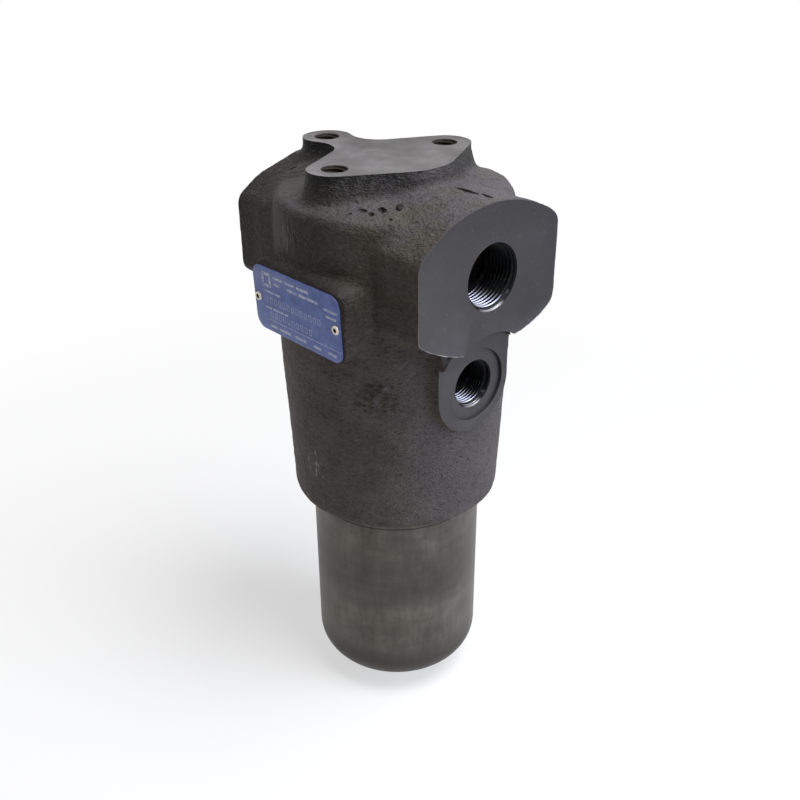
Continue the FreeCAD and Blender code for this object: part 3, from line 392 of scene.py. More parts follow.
turned_steel = plain_finish("turned_steel", "#77777a", "#8e8e91", 0.34, 0.6)
spring_steel = plain_finish("oiled_spring_wire", "#5b5b5e", "#737376", 0.38, 0.8)
zinc_sheet = plain_finish("zinc_plated_sheet", "#8c9296", "#a9aeb0", 0.36, 2.0, 0.8)
woven_wire = plain_finish("woven_wire_cloth", "#7f7f7d", "#9b9b98", 0.5, 0.5, 0.7)
rivet_metal = plain_finish("drawn_aluminium_rivet", "#cfc6b6", "#efe8dc", 0.42, 0.5, 0.4)
nitrile_rubber = plain_finish("nitrile_rubber", "#141414", "#222222", 0.55, 0.6, 0.0, 6, (3.0, 0.4, 0.02))
fluoropolymer = plain_finish("white_fluoropolymer", "#dedbd0", "#ebe9e2", 0.5, 1.0, 0.0, 6, (3.0, 0.4, 0.02))
filter_fleece = plain_finish("glass_fibre_fleece", "#d8d3bf", "#ece8d9", 0.9, 0.5, 0.0, 6, (3.0, 0.4, 0.15))

# %% [markdown]
# The plate is thin aluminium with a baked blue coat. The print on it is pale grey and slightly
# worn. Both are drawn as separate pieces, so the print stays sharp.

# %% Blue plate and its print
blue_enamel, tree, shader, place = new_finish("baked_blue_enamel")
worn = add(tree, "ShaderNodeTexNoise", {"Vector": place, "Scale": per(5), "Detail": 8.0, "Roughness": 0.7})
blue = add(tree, "ShaderNodeValToRGB", [worn], [(0.32, "#41508c"), (0.51, "#5063a4"), (0.68, "#6577b3")])
fill(tree, shader, {"Base Color": blue, "Roughness": 0.42})
pale_print, tree, shader, place = new_finish("pale_screen_print")
thin = add(tree, "ShaderNodeTexNoise", {"Vector": place, "Scale": per(1.2), "Detail": 3.0, "Roughness": 0.7})
ink = add(tree, "ShaderNodeValToRGB", [thin], [(0.38, "#7d89b6"), (0.58, "#c0c4d2")])
fill(tree, shader, {"Base Color": ink, "Roughness": 0.5})
stamped_blue, tree, shader, place = new_finish("stamped_digits")
chalk = add(tree, "ShaderNodeTexNoise", {"Vector": place, "Scale": per(1.5), "Detail": 3.0})
pressed = add(tree, "ShaderNodeValToRGB", [chalk], [(0.36, "#828dba"), (0.60, "#b2b9d6")])
fill(tree, shader, {"Base Color": pressed, "Roughness": 0.5})

# %% [markdown]
# A bmesh that is ready becomes an object here. Its place is in its mesh, so the object itself sits
# at the origin, as the frame's own nodes do.


# %% From bmesh to piece
def make_piece(name, bm, finishes, body, smooth=True, sharp_deg=32.0):
    """Turns a bmesh into a piece that rides on a body; edges sharper than the limit stay crisp."""
    for face in bm.faces:
        face.smooth = smooth
    limit = math.radians(sharp_deg)
    for edge in bm.edges:
        edge.smooth = len(edge.link_faces) == 2 and edge.calc_face_angle(0.0) < limit
    mesh = bpy.data.meshes.new(name)
    bm.to_mesh(mesh)
    bm.free()
    for finish in finishes:
        mesh.materials.append(finish)
    piece = bpy.data.objects.new(name, mesh)
    bpy.context.scene.collection.objects.link(piece)
    if body:
        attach(piece, body)
    print("piece:", name, len(mesh.polygons), "faces")
    return piece


def cut_with(piece, cutter, finishes="INDEX"):
    """Lets a boolean cut a cutter's shape out of a piece."""
    cut = piece.modifiers.new(cutter.name, "BOOLEAN")
    cut.operation = "DIFFERENCE"
    cut.solver = "EXACT"
    cut.object = cutter
    cut.material_mode = finishes


def evaluated(piece):
    """A bmesh of the piece with its modifiers applied."""
    bpy.context.view_layer.update()
    result = piece.evaluated_get(bpy.context.evaluated_depsgraph_get())
    bm = bmesh.new()
    bm.from_mesh(result.to_mesh())
    result.to_mesh_clear()
    return bm


# %% [markdown]
# A turned piece is half its section spun about its axis. The section is drawn as corners of
# (radius, height); where it starts and ends on the axis, the poles are merged. A turned edge is
# then rounded with a bevel.


# %% Turning and rounding
AXES = {
    "Z": Matrix(),
    "X": Matrix.Rotation(math.radians(90), 4, "Y"),
    "-X": Matrix.Rotation(math.radians(-90), 4, "Y"),
    "-Y": Matrix.Rotation(math.radians(90), 4, "X"),
    "-Z": Matrix.Rotation(math.radians(180), 4, "X"),
}


def turned(corners, steps=96, at=(0.0, 0.0, 0.0), along="Z", closed=False):
    """A bmesh spun from corners in millimetres. A closed section, such as a ring's, joins its ends."""
    bm = bmesh.new()
    verts = [bm.verts.new((radius * MM, 0.0, height * MM)) for radius, height in corners]
    ends = list(zip(verts, verts[1:])) + ([(verts[-1], verts[0])] if closed else [])
    edges = [bm.edges.new(pair) for pair in ends]
    bmesh.ops.spin(
        bm, geom=verts + edges, cent=(0, 0, 0), axis=(0, 0, 1), dvec=(0, 0, 0),
        angle=2 * math.pi, steps=steps, use_merge=True)
    bmesh.ops.remove_doubles(bm, verts=bm.verts, dist=0.001 * MM)
    bmesh.ops.recalc_face_normals(bm, faces=bm.faces)
    bmesh.ops.transform(bm, matrix=Matrix.Translation(at) @ AXES[along], verts=bm.verts)
    return bm


def round_edges(bm, edges, amount, segments):
    """Rounds edges by an amount in millimetres."""
    bmesh.ops.bevel(
        bm, geom=edges, offset=amount * MM, offset_type="OFFSET", segments=segments, profile=0.5,
        affect="EDGES", material=-1)


def into(target, part):
    """Adds one bmesh to another."""
    scratch = bpy.data.meshes.new("scratch")
    part.to_mesh(scratch)
    part.free()
    target.from_mesh(scratch)
    bpy.data.meshes.remove(scratch)


# %% [markdown]
# The head comes out of its mould as a blank: no holes, and a few millimetres of extra iron on each
# face that will be milled. The frame's solid has the finished form, so its copy is built back into
# that blank: its milled faces are pulled outwards, and plugs fill its holes. A voxel remesh then
# melts everything into one even skin, which is what lets the corners round over as sand leaves them.

# %% Build the blank
blank = bmesh.new()
blank.from_mesh(nodes["filter_head"].data)
bmesh.ops.remove_doubles(blank, verts=blank.verts, dist=0.01 * MM)


def faces_at(bm, axis, place):
    """The faces that lie in one plane square to an axis."""
    return [f for f in bm.faces if all(abs(v.co[axis] - place) < 0.02 * MM for v in f.verts)]


def pull(bm, faces, shift):
    """Extrudes a region of faces along a vector."""
    made = bmesh.ops.extrude_face_region(bm, geom=faces)
    moved = [g for g in made["geom"] if isinstance(g, bmesh.types.BMVert)]
    bmesh.ops.translate(bm, verts=moved, vec=shift)


ALLOWANCE = 5 * MM
inlet_face = faces_at(blank, 0, -HALF_FACE)
inlet_edges = list(dict.fromkeys(e for f in inlet_face for e in f.edges))
inlet_verts = list(dict.fromkeys(v for f in inlet_face for v in f.verts))
section = bmesh.ops.duplicate(blank, geom=inlet_face + inlet_edges + inlet_verts)
section_faces = [g for g in section["geom"] if isinstance(g, bmesh.types.BMFace)]
section_verts = [g for g in section["geom"] if isinstance(g, bmesh.types.BMVert)]
bmesh.ops.translate(blank, verts=section_verts, vec=(-ALLOWANCE, 0, 0))
pull(blank, section_faces, (2 * (HALF_FACE + ALLOWANCE), 0, 0))
pull(blank, faces_at(blank, 2, PAD_TOP), (0, 0, ALLOWANCE))
pull(blank, faces_at(blank, 2, HEAD_BOTTOM), (0, 0, -ALLOWANCE))
pull(blank, faces_at(blank, 0, POCKET_FACE), (3.5 * MM, 0, 0))  # the pocket is only spot-faced


def plug(radius, start, end, at, along="Z"):
    """A cylinder that fills a hole of the blank, in millimetres along its own axis."""
    into(blank, turned([(0, start), (radius, start), (radius, end), (0, end)], 64, at, along))


plug(39.6, 101.7, 232.0, (0, 0, 0))
plug(14.6, -61.8, 61.8, (0, 0, PORT_AXIS), "X")
plug(16.3, 30.0, 53.0, (0, 0, INDICATOR_AXIS), "X")
for x, y in PAD_HOLES:
    plug(6.2, 235.0, 262.7, (x, y, 0))
for side in (-1, 1):
    plug(1.7, 39.0, 52.4, (PLATE_MIDDLE.x + side * RIVET_SPACING / 2, 0, RIVET_AXIS), "-Y")
print("blank:", len(blank.faces), "faces before the remesh")

# %% [markdown]
# The remesh makes faces of about one millimetre. Smoothing rounds the skin's corners, and two
# displacements with procedural clouds give it the slow waves and small bumps of a sand mould.

# %% Cast the skin
skin = make_piece("casting_blank", blank, [cast_iron], None)
remesh = skin.modifiers.new("skin", "REMESH")
remesh.mode = "VOXEL"
remesh.voxel_size = 1.05 * MM
soften = skin.modifiers.new("soften", "SMOOTH")
soften.factor = 0.5
soften.iterations = 4
for name, size_mm, depth_mm in (("mould_waves", 14, 0.5), ("mould_bumps", 2.8, 0.4)):
    pattern = bpy.data.textures.new(name, "CLOUDS")
    pattern.noise_scale = size_mm * MM
    pattern.noise_depth = 2
    ripple = skin.modifiers.new(name, "DISPLACE")
    ripple.texture = pattern
    ripple.texture_coords = "LOCAL"
    ripple.strength = depth_mm * MM
    ripple.mid_level = 0.5
casting = evaluated(skin)
bpy.data.objects.remove(skin)
print("skin:", len(casting.faces), "faces")

# %% [markdown]
# No mould is perfect. The roof of the inlet end sank a little, the far corners of the outlet end, the
# roof behind the pad and the pad's neck stand fuller than drawn, and a gate was broken off on the
# side, which left a rough patch.


# %% Marks of the mould
def ease(start, end, value):
    """From 0 at the start to 1 at the end, without a kink."""
    share = min(1.0, max(0.0, (value - start) / (end - start)))
    return share * share * (3 - 2 * share)


casting.normal_update()
for vert in casting.verts:
    x, y, z = vert.co / MM
    neck = 1.3 * ease(257.5, 248, z) * ease(243.5, 246.5, z)
    vert.co += Vector((vert.normal.x, vert.normal.y, 0)) * neck * MM
    inlet, outlet = ease(-38, -48, x), ease(38, 48, x)
    sag = inlet * (1.3 + max(0.0, 1 - ((y + 18) / 11) ** 2)) * ease(236, 243, z)
    fuller = outlet * (2.0 * ease(18, 38, y) * ease(222, 236, z) - 1.9 * ease(10, 31, y) * ease(210, 201, z))
    swell = 1.0 * max(0.0, 1 - ((x - 17) ** 2 + (y - 36) ** 2) / 16 ** 2) * ease(238, 244, z)
    vert.co.z += (fuller + swell * ease(256, 251, z) - sag) * MM
    vert.co.y += 0.8 * inlet * ease(-30, -37, y) * MM
    reach = (vert.co - GATE).length / (10.5 * MM)
    if reach < 1:
        outward = Vector((vert.co.x, vert.co.y, 0)).normalized()
        level = Vector((vert.co.x, vert.co.y, vert.co.z * 2.0))
        torn = noise.noise(level * per(3.2)) * 1.3 + noise.noise(level * per(7.0)) * 0.5
        vert.co += outward * torn * MM * min(1.0, (1 - reach) * 3)
    vert.co.y = min(vert.co.y, cad_high.y)
print("gate mark at", [round(c / MM, 1) for c in GATE])

# %% [markdown]
# Milling comes next. Each plane slices the extra iron off, and the open cut is closed by one flat
# face. A narrow inset of that face becomes the rubbed edge, and its rim drops a little, as a
# file's touch would leave it.


# %% Mill the flat faces
CAST, MILLED, RUBBED, SHADED_FACE = 0, 1, 2, 3


def mill(bm, point, normal, finish=MILLED):
    """Cuts off what stands above a plane, closes the cut and rubs its rim."""
    geometry = list(bm.verts) + list(bm.edges) + list(bm.faces)
    cut = bmesh.ops.bisect_plane(
        bm, geom=geometry, dist=0.001 * MM, plane_co=point, plane_no=normal, clear_outer=True)
    rim = [g for g in cut["geom_cut"] if isinstance(g, bmesh.types.BMEdge)]
    closed = bmesh.ops.contextual_create(bm, geom=rim)
    face = closed["faces"][0]
    face.material_index = finish
    rim_verts = list(face.verts)
    strip = bmesh.ops.inset_region(bm, faces=[face], thickness=0.28 * MM, use_even_offset=False)
    for f in strip["faces"]:
        f.material_index = RUBBED
    bmesh.ops.translate(bm, verts=rim_verts, vec=-Vector(normal) * 0.12 * MM)
    face.normal_update()
    print("milled a face of", round(face.calc_area() * 1e6), "mm2")


mill(casting, (HALF_FACE, 0, 0), (1, 0, 0), SHADED_FACE)
mill(casting, (-HALF_FACE, 0, 0), (-1, 0, 0), SHADED_FACE)
mill(casting, (0, 0, PAD_TOP), (0, 0, 1))
mill(casting, (0, 0, HEAD_BOTTOM), (0, 0, -1))

# %% [markdown]
# The flat for the plate is as cast, so it leans a little with the mould's draft, and the plate was
# riveted on a millimetre low and slightly askew. The skin behind the plate is pressed into the
# plate's plane, so that the thin sheet lies on iron all over.

# %% Flatten the seat of the plate
SHIFT = Vector((-0.7 * MM, 0.06 * MM, -1.2 * MM))
PLATE_SEAT = (Matrix.Translation(PLATE_MIDDLE + SHIFT) @ AXES["-Y"]
              @ Matrix.Rotation(math.radians(0.6), 4, "Z") @ Matrix.Rotation(math.radians(2.2), 4, "X"))
onto_seat = PLATE_SEAT.inverted()
for vert in casting.verts:
    seen = onto_seat @ vert.co
    if abs(seen.x) < 28.6 * MM and abs(seen.y) < 14.8 * MM and abs(seen.z) < 4 * MM:
        vert.co = PLATE_SEAT @ Vector((seen.x, seen.y, 0))

# %% [markdown]
# Boring is done with boolean cuts. Each cutter carries the finish of the wall that it cuts, and
# the exact solver hands it over. A chamfer at each mouth is part of its cutter's section. Dents in
# the roof are cut the same way, with lumpy balls, and keep the dirt that sits in them.


# %% Bore the holes
def bore(radius, depth, chamfer, at, along, name, finish=tapped_iron):
    """A cutter for a blind hole with a chamfered mouth, in millimetres from its mouth inwards."""
    section = [
        (0, 3), (radius + chamfer, 3), (radius + chamfer, 0), (radius, -chamfer), (radius, -depth),
        (0, -depth)]
    return make_piece(name, turned(section, 96, at, along), [finish], None)


def walled(corners, at, along, name, finish):
    """A cutter from a section of its own."""
    return make_piece(name, turned(corners, 128, at, along), [finish], None)


cutters = [
    bore(PORT_THREAD[0], 18, 0.75, (HALF_FACE, 0, PORT_AXIS), "X", "outlet_port_cut"),
    bore(PORT_THREAD[0], 18, 0.9, (-HALF_FACE, 0, PORT_AXIS), "-X", "inlet_port_cut"),
    walled([(0, 0), (11.5, 0), (11.5, 41), (0, 41)], (0, 0, PORT_AXIS), "X", "outlet_core_cut", cast_iron),
    walled([(0, 25), (11.5, 25), (11.5, 41), (0, 41)], (0, 0, PORT_AXIS), "-X", "inlet_core_cut", cast_iron),
    walled([(0, 49.5), (25.4, 49.5), (25.4, 70), (0, 70)], (0, 0, INDICATOR_AXIS), "X",
           "indicator_pocket_cut", shaded_milled_face),
    walled([(0, 48.1), (15.9, 48.1), (15.9, 49.35), (16.05, 49.5), (16.05, 52), (0, 52)],
           (0, 0, INDICATOR_AXIS), "X", "indicator_seat_cut", shaded_milled_face),
    bore(INDICATOR_THREAD[0], 13, 0.5, (SEAT_FACE, 0, INDICATOR_AXIS), "X", "indicator_hole_cut"),
    walled([
        (0, 100), (39.2, 100), (39.2, 106.7), (38, 107.9), (38, 126.7), (36.45, 128.3), (36.45, 142.7),
        (0, 142.7)], (0, 0, 0), "Z", "bowl_bore_cut", milled_iron),
    walled([
        (0, 142.6), (33.5, 142.6), (33.5, 188.7), (32.3, 191.5), (29.5, 192.7), (0, 192.7)], (0, 0, 0),
        "Z", "chamber_cut", cast_iron),
    walled([
        (0, 188.7), (20, 188.7), (20, 234.2), (18.8, 237), (16, 238.2), (0, 238.2)], (0, 0, 0), "Z",
        "outlet_chamber_cut", cast_iron),
    walled([(0, 164.7), (9, 164.7), (9, 221.2), (0, 221.2)], (-34 * MM, 0, 0), "Z", "inlet_drop_cut",
           cast_iron),
]
for number, (x, y) in enumerate(PAD_HOLES):
    cutters.append(bore(PAD_THREAD[0], 14, 0.5, (x, y, PAD_TOP), "Z", f"mounting_hole_cut_{number}", grime_and_painted_shadow))


def skin_top(x_mm, y_mm):
    """The casting's height at a point of its roof."""
    roof = (v.co for v in casting.verts if v.co.z > 235 * MM)
    return min(roof, key=lambda co: math.hypot(co.x - x_mm * MM, co.y - y_mm * MM)).z


DENT_SEED = 3
noise.seed_set(DENT_SEED)  # without a seed, noise_vector starts from the clock and each run differs
dents = bmesh.new()
for x, y, long, wide, turn in [
        (20.0, -34.0, 4.0, 2.4, 20), (24.4, -33.4, 3.0, 2.2, 0), (25.3, -28.8, 5.0, 3.2, -30),
        (28.6, -22.8, 5.0, 2.8, -50), (40.0, 1.8, 13.4, 2.7, 3), (49.0, 3.2, 7.6, 2.3, -12),
        (-43.6, -19.3, 6.4, 2.8, 30), (32.6, -31.0, 1.4, 1.0, 0), (18.0, -38.5, 1.8, 1.2, 10)]:
    spot = Vector((x * MM, y * MM, skin_top(x, y) + 0.1 * MM))
    shape = (Matrix.Translation(spot) @ Matrix.Rotation(math.radians(turn), 4, "Z")
             @ Matrix.Diagonal((long / 2 * MM, wide / 2 * MM, 1.2 * MM, 1)))
    pit = bmesh.ops.create_icosphere(dents, subdivisions=3, radius=1.0, matrix=shape)
    for vert in pit["verts"]:
        vert.co += noise.noise_vector(vert.co * per(1.6)) * 0.55 * MM
cutters.append(make_piece("dent_cut", dents, [grime_and_painted_shadow], None))

head = make_piece("head_casting", casting, [cast_iron, milled_iron, rubbed_edge, shaded_milled_face], None)
for cutter in cutters:
    cut_with(head, cutter, "TRANSFER")
bored = evaluated(head)
bored_mesh = head.evaluated_get(bpy.context.evaluated_depsgraph_get()).data
finishes = [bpy.data.materials[m.name] for m in bored_mesh.materials]
print("bored head:", len(bored.faces), "faces, finishes", [m.name for m in finishes])
for thing in [head] + cutters:
    bpy.data.objects.remove(thing)
head = make_piece("head_casting", bored, finishes, "head", sharp_deg=38)
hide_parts("filter_head")

# %% [markdown]
# A screw thread is a small ridge that climbs while it turns. Spin does both at once: its angle
# turns the section and its dvec lifts it a little at each step. The first and last half turn fade
# into the wall, as where a tap or a die runs out. The crest and the upper half of each flank take
# the finish with the painted highlight; the lower half, down in the root, takes the hole's dark
# finish, oil and painted shade.


# %% Cutting threads
def thread(root, crest, pitch, low, high, at=(0.0, 0.0, 0.0), along="Z", lag=0.0, steps=72):
    """A right-handed ridge from a wall's radius to its crest, between two heights in millimetres."""
    buried = root + math.copysign(0.2, root - crest)
    turns = (high - low) / pitch
    bm = bmesh.new()
    midway = crest + 0.4 * (root - crest)
    section = [
        (buried, -0.42 * pitch), (midway, -0.20 * pitch), (crest, -0.07 * pitch), (crest, 0.07 * pitch),
        (midway, 0.20 * pitch), (buried, 0.42 * pitch)]
    verts = [bm.verts.new((radius * MM, 0.0, (low + rise) * MM)) for radius, rise in section]
    edges = [bm.edges.new(pair) for pair in zip(verts, verts[1:] + verts[:1])]
    bmesh.ops.spin(
        bm, geom=verts + edges, cent=(0, 0, 0), axis=(0, 0, 1), dvec=(0, 0, pitch / steps * MM),
        angle=2 * math.pi * turns, steps=round(turns * steps), use_merge=False)
    bm.verts.index_update()
    # Faces down near the root take the second finish, painted shade; the rest take the first.
    for face in bm.faces:
        deepest = max(abs(math.hypot(v.co.x, v.co.y) - crest * MM) for v in face.verts)
        face.material_index = 1 if deepest > abs(root - crest) * 0.5 * MM else 0
    last = (len(bm.verts) - 1) // len(section)
    for vert in bm.verts:
        step = vert.index // len(section)
        fade = min(1.0, step / steps * 2, (last - step) / steps * 2)
        radius = math.hypot(vert.co.x, vert.co.y)
        wanted = buried * MM + (radius - buried * MM) * fade
        vert.co.x *= wanted / radius
        vert.co.y *= wanted / radius
    bmesh.ops.holes_fill(bm, edges=[e for e in bm.edges if e.is_boundary], sides=len(section))
    bmesh.ops.recalc_face_normals(bm, faces=bm.faces)
    place = Matrix.Translation(at) @ AXES[along] @ Matrix.Rotation(math.radians(lag), 4, "Z")
    bmesh.ops.transform(bm, matrix=place, verts=bm.verts)
    return bm


threads = bmesh.new()
into(threads, thread(*PORT_THREAD, -17.0, -1.3, (HALF_FACE, 0, PORT_AXIS), "X"))
into(threads, thread(*PORT_THREAD, -17.0, -1.3, (-HALF_FACE, 0, PORT_AXIS), "-X"))
into(threads, thread(*INDICATOR_THREAD, -12.0, -1.2, (SEAT_FACE, 0, INDICATOR_AXIS), "X"))
for x, y in PAD_HOLES:
    into(threads, thread(*PAD_THREAD, -12.5, -0.9, (x, y, PAD_TOP), "Z", steps=48))
into(threads, thread(*HEAD_THREAD, 108.4, 125.6, lag=180.0, steps=120))
for face in threads.faces:
    if face.calc_center_median().z > 240 * MM:
        face.material_index = 2  # the pad's holes are full of grime
make_piece(
    "head_threads", threads, [thread_flanks, tapped_iron, grime_and_painted_shadow], "head", sharp_deg=50)

# %% [markdown]
# The bowl is one turned steel piece. Its section is spun about Z, then the big corner at the foot
# and the inner corner are bevelled with many segments, which makes them true fillets. The neck
# with its thread and seal groove is brighter, because it is never touched by the weather. A fine
# groove runs round just below the head.


# %% Turn the bowl
def ring_at(bm, radius, height, reach=0.02 * MM):
    """The ring of edges at a radius and a height, in millimetres, of a form spun about Z."""
    return [e for e in bm.edges if all(
        abs(math.hypot(v.co.x, v.co.y) - radius * MM) < reach and abs(v.co.z - height * MM) < reach
        for v in e.verts)]


bowl_form = turned([
    (0, 8), (39, 8), (39, 100.0), (38.75, 100.1), (38.75, 100.4), (39, 100.5), (39, 104.2),
    (38.5, 104.7), (38.5, 106.4), (36.7, 106.4), (36.7, 125.9),
    (36.35, 126.25), (36.35, 132.1), (33.6, 132.1), (33.6, 137.7), (36.35, 137.7), (36.35, 141.9),
    (35.55, 142.7), (32.3, 142.7), (31.5, 141.9), (31.5, 19), (0, 19)], 160)
for radius, height, amount, segments in [
        (39, 8, 14, 16), (31.5, 19, 7, 8), (38.5, 106.4, 0.25, 2), (39, 104.2, 0.15, 2)]:
    round_edges(bowl_form, ring_at(bowl_form, radius, height), amount, segments)
HEX_CORNER = 18.475 * MM
HEX_HEIGHT = 13.5 * MM
hexagon = bmesh.new()
bmesh.ops.create_cone(
    hexagon, cap_ends=True, segments=6, radius1=HEX_CORNER, radius2=HEX_CORNER, depth=HEX_HEIGHT,
    matrix=Matrix.Translation((0, 0, HEX_HEIGHT / 2)))
round_edges(hexagon, [e for e in hexagon.edges if all(v.co.z < 0.01 * MM for v in e.verts)], 0.8, 2)
into(bowl_form, hexagon)
into(bowl_form, thread(*BOWL_THREAD, 108.4, 123.6, steps=120))
for face in bowl_form.faces:
    middle = face.calc_center_median()
    outer = math.hypot(middle.x, middle.y) > 31.6 * MM or middle.z < 18.9 * MM
    face.material_index = 0 if outer and middle.z < 106.3 * MM else 1
bowl = make_piece("turned_bowl", bowl_form, [bowl_steel, turned_steel], "bowl", sharp_deg=28)
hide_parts("filter_bowl")

# %% [markdown]
# The plate is a thin sheet with rounded corners. Bevelling the four corner points of a flat grid
# rounds the outline, an extrusion gives the thickness, and a fine bevel along the front rim catches
# the light. Its two holes are cut with a boolean.

# %% The blue plate
def sheet(width, height, corner, thickness, corner_steps=8):
    """A flat plate in XY with rounded corners, in millimetres; its back lies on Z 0."""
    bm = bmesh.new()
    bmesh.ops.create_grid(
        bm, x_segments=1, y_segments=1, size=0.5, matrix=Matrix.Diagonal((width * MM, height * MM, 1, 1)))
    bmesh.ops.bevel(
        bm, geom=bm.verts[:], offset=corner * MM, offset_type="OFFSET", segments=corner_steps,
        profile=0.5, affect="VERTICES", material=-1)
    made = bmesh.ops.extrude_face_region(bm, geom=bm.faces[:], use_keep_orig=True)
    bmesh.ops.translate(
        bm, verts=[g for g in made["geom"] if isinstance(g, bmesh.types.BMVert)], vec=(0, 0, thickness * MM))
    bmesh.ops.recalc_face_normals(bm, faces=bm.faces)
    return bm


plate_form = sheet(56, 28.5, 5, 0.8)
round_edges(plate_form, [e for e in plate_form.edges if all(v.co.z > 0.79 * MM for v in e.verts)], 0.18, 2)
bmesh.ops.transform(plate_form, matrix=PLATE_SEAT, verts=plate_form.verts)
uncut = make_piece("uncut_plate", plate_form, [blue_enamel], None)
drills = bmesh.new()
RIVET_PLACES = [(-25.2 * MM, -0.1 * MM, 0), (25.2 * MM, 0.4 * MM, 0)]
for place in RIVET_PLACES:
    into(drills, turned([(0, -2), (1.55, -2), (1.55, 4), (0, 4)], 48, place))
bmesh.ops.transform(drills, matrix=PLATE_SEAT, verts=drills.verts)
drill = make_piece("rivet_drill", drills, [blue_enamel], None)
cut_with(uncut, drill)
plate_bm = evaluated(uncut)
for thing in (uncut, drill):
    bpy.data.objects.remove(thing)
plate = make_piece("blue_plate", plate_bm, [blue_enamel], "head")
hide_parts("nameplate")

# %% [markdown]
# A thin dark sheet behind the plate, shifted up and to the right, is a painted shadow: it draws the
# dark line that the plate's edge casts above and beside it.

# %% Painted shadow along the plate's seam
# This sheet is a painted shadow of the plate's upper and right edges.
shadow_sheet_form = sheet(57.4, 30.0, 5.6, 0.35)
round_edges(shadow_sheet_form, [e for e in shadow_sheet_form.edges if all(v.co.z > 0.34 * MM for v in e.verts)], 0.15, 2)
shift = Matrix.Translation((0.45 * MM, 0.5 * MM, -0.02 * MM))
bmesh.ops.transform(shadow_sheet_form, matrix=PLATE_SEAT @ shift, verts=shadow_sheet_form.verts)
make_piece("plate_seam_painted_shadow", shadow_sheet_form, [grime_and_painted_shadow], "head")

# %% [markdown]
# The print is kept generic: a ruled line, short bars where a label would stand, and rows of plain
# zeros for the stamped values. Each bar is a thin slab that stands three hundredths of a millimetre
# proud, about what screen ink does. An outlined field is four bars.

# %% Generic print on the plate
INK_BACK = 0.79
print_form = bmesh.new()
stamp_form = bmesh.new()


def bar(left, right_end, middle, tall, target=print_form):
    """A printed bar, in millimetres from the plate's middle."""
    wide = right_end - left
    slab = sheet(wide, tall, min(wide, tall) * 0.3, 0.04, 3)
    lifted = Matrix.Translation(((left + right_end) / 2 * MM, middle * MM, INK_BACK * MM))
    bmesh.ops.transform(slab, matrix=PLATE_SEAT @ lifted, verts=slab.verts)
    into(target, slab)


def field(left, right_end, middle, tall, line, target=print_form):
    """The outline of a box, which also serves as a zero."""
    bar(left, right_end, middle + tall / 2, line, target)
    bar(left, right_end, middle - tall / 2, line, target)
    bar(left, left + line, middle, tall, target)
    bar(right_end - line, right_end, middle, tall, target)


field(-21.6, -15.6, 9.0, 5.0, 1.3)
for left, right_end, middle, tall in [
        (-13.8, -7.2, 11.0, 1.2), (-6.2, 0.6, 11.0, 1.2), (1.6, 9.2, 11.0, 1.2),
        (-13.8, -9.8, 8.3, 1.2), (-4.6, 2.0, 8.3, 1.2), (3.0, 15.0, 8.3, 1.2),
        (-20.6, -14.2, 3.8, 0.9), (-13.4, -9.7, 3.8, 0.9),
        (-20.7, -16.6, -3.5, 0.9), (-15.8, -5.7, -3.5, 0.9),
        (18.3, 26.6, 7.2, 1.1), (19.3, 25.9, 4.4, 1.0),
        (-20.4, 27.4, -8.9, 0.35),
        (-18.6, -14.0, -11.5, 1.3), (-12.6, -5.0, -11.5, 1.3), (-2.0, 5.2, -11.5, 1.3),
        (10.2, 15.0, -11.5, 1.3), (19.0, 24.6, -11.5, 1.3)]:
    bar(left, right_end, middle, tall)
STAMP_STEP = 2.85
for count, left, right_end, middle, tall in [(13, -20.2, -18.5, 0.2, 2.4), (10, -17.8, -16.1, -6.1, 2.3)]:
    for place in range(count):
        step = place * STAMP_STEP
        field(left + step, right_end + step, middle, tall, 0.3, stamp_form)
make_piece("plate_print", print_form, [pale_print], "head")
make_piece("plate_stamps", stamp_form, [stamped_blue], "head")

# %% [markdown]
# Two hollow drive rivets hold the plate. A ring section is spun, and its outer edge rounded, so
# each head is a small dome with a dark hole in its middle.

# %% Hollow rivets
rivets_form = bmesh.new()
for place in RIVET_PLACES:
    into(rivets_form, turned([
        (0.95, 1.35), (1.05, 1.55), (1.3, 1.65), (1.6, 1.58), (1.8, 1.35), (1.95, 1.0), (1.95, 0.8),
        (1.45, 0.8), (1.45, -5.1), (0, -5.1), (0, -3.7), (0.95, -3.7)], 48, place, closed=True))
for face in rivets_form.faces:
    middle = face.calc_center_median()
    off_axis = min((middle.xy - Vector(place).xy).length for place in RIVET_PLACES)
    if off_axis < 0.97 * MM and face.normal.z < 0.95:
        face.material_index = 1
bmesh.ops.transform(rivets_form, matrix=PLATE_SEAT, verts=rivets_form.verts)
rivets = make_piece("drive_rivets", rivets_form, [rivet_metal, grime_and_painted_shadow], "head", sharp_deg=60)
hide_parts("nameplate_rivets")

# %% [markdown]
# The bypass spring is a wire bent round a helix, so it is spun with a lift like a thread, but with
# a round section. The real spring shortens when the plate below it lifts; this piece gets a mesh of
# its own.

# %% The bypass spring
COIL_TURNS = 4.5
COIL_RISE = 17.5
STEPS_PER_TURN = 56
WIRE_SIDES = 14
spring_form = bmesh.new()
circle = bmesh.ops.create_circle(
    spring_form, segments=WIRE_SIDES, radius=1.25 * MM,
    matrix=Matrix.Translation((15 * MM, 0, 203.95 * MM)) @ Matrix.Rotation(math.radians(90), 4, "X"))
bmesh.ops.spin(
    spring_form, geom=circle["verts"] + spring_form.edges[:], cent=(0, 0, 0), axis=(0, 0, 1),
    dvec=(0, 0, COIL_RISE / (COIL_TURNS * STEPS_PER_TURN) * MM), angle=2 * math.pi * COIL_TURNS,
    steps=round(COIL_TURNS * STEPS_PER_TURN), use_merge=False)
bmesh.ops.holes_fill(spring_form, edges=[e for e in spring_form.edges if e.is_boundary], sides=WIRE_SIDES)
bmesh.ops.recalc_face_normals(spring_form, faces=spring_form.faces)
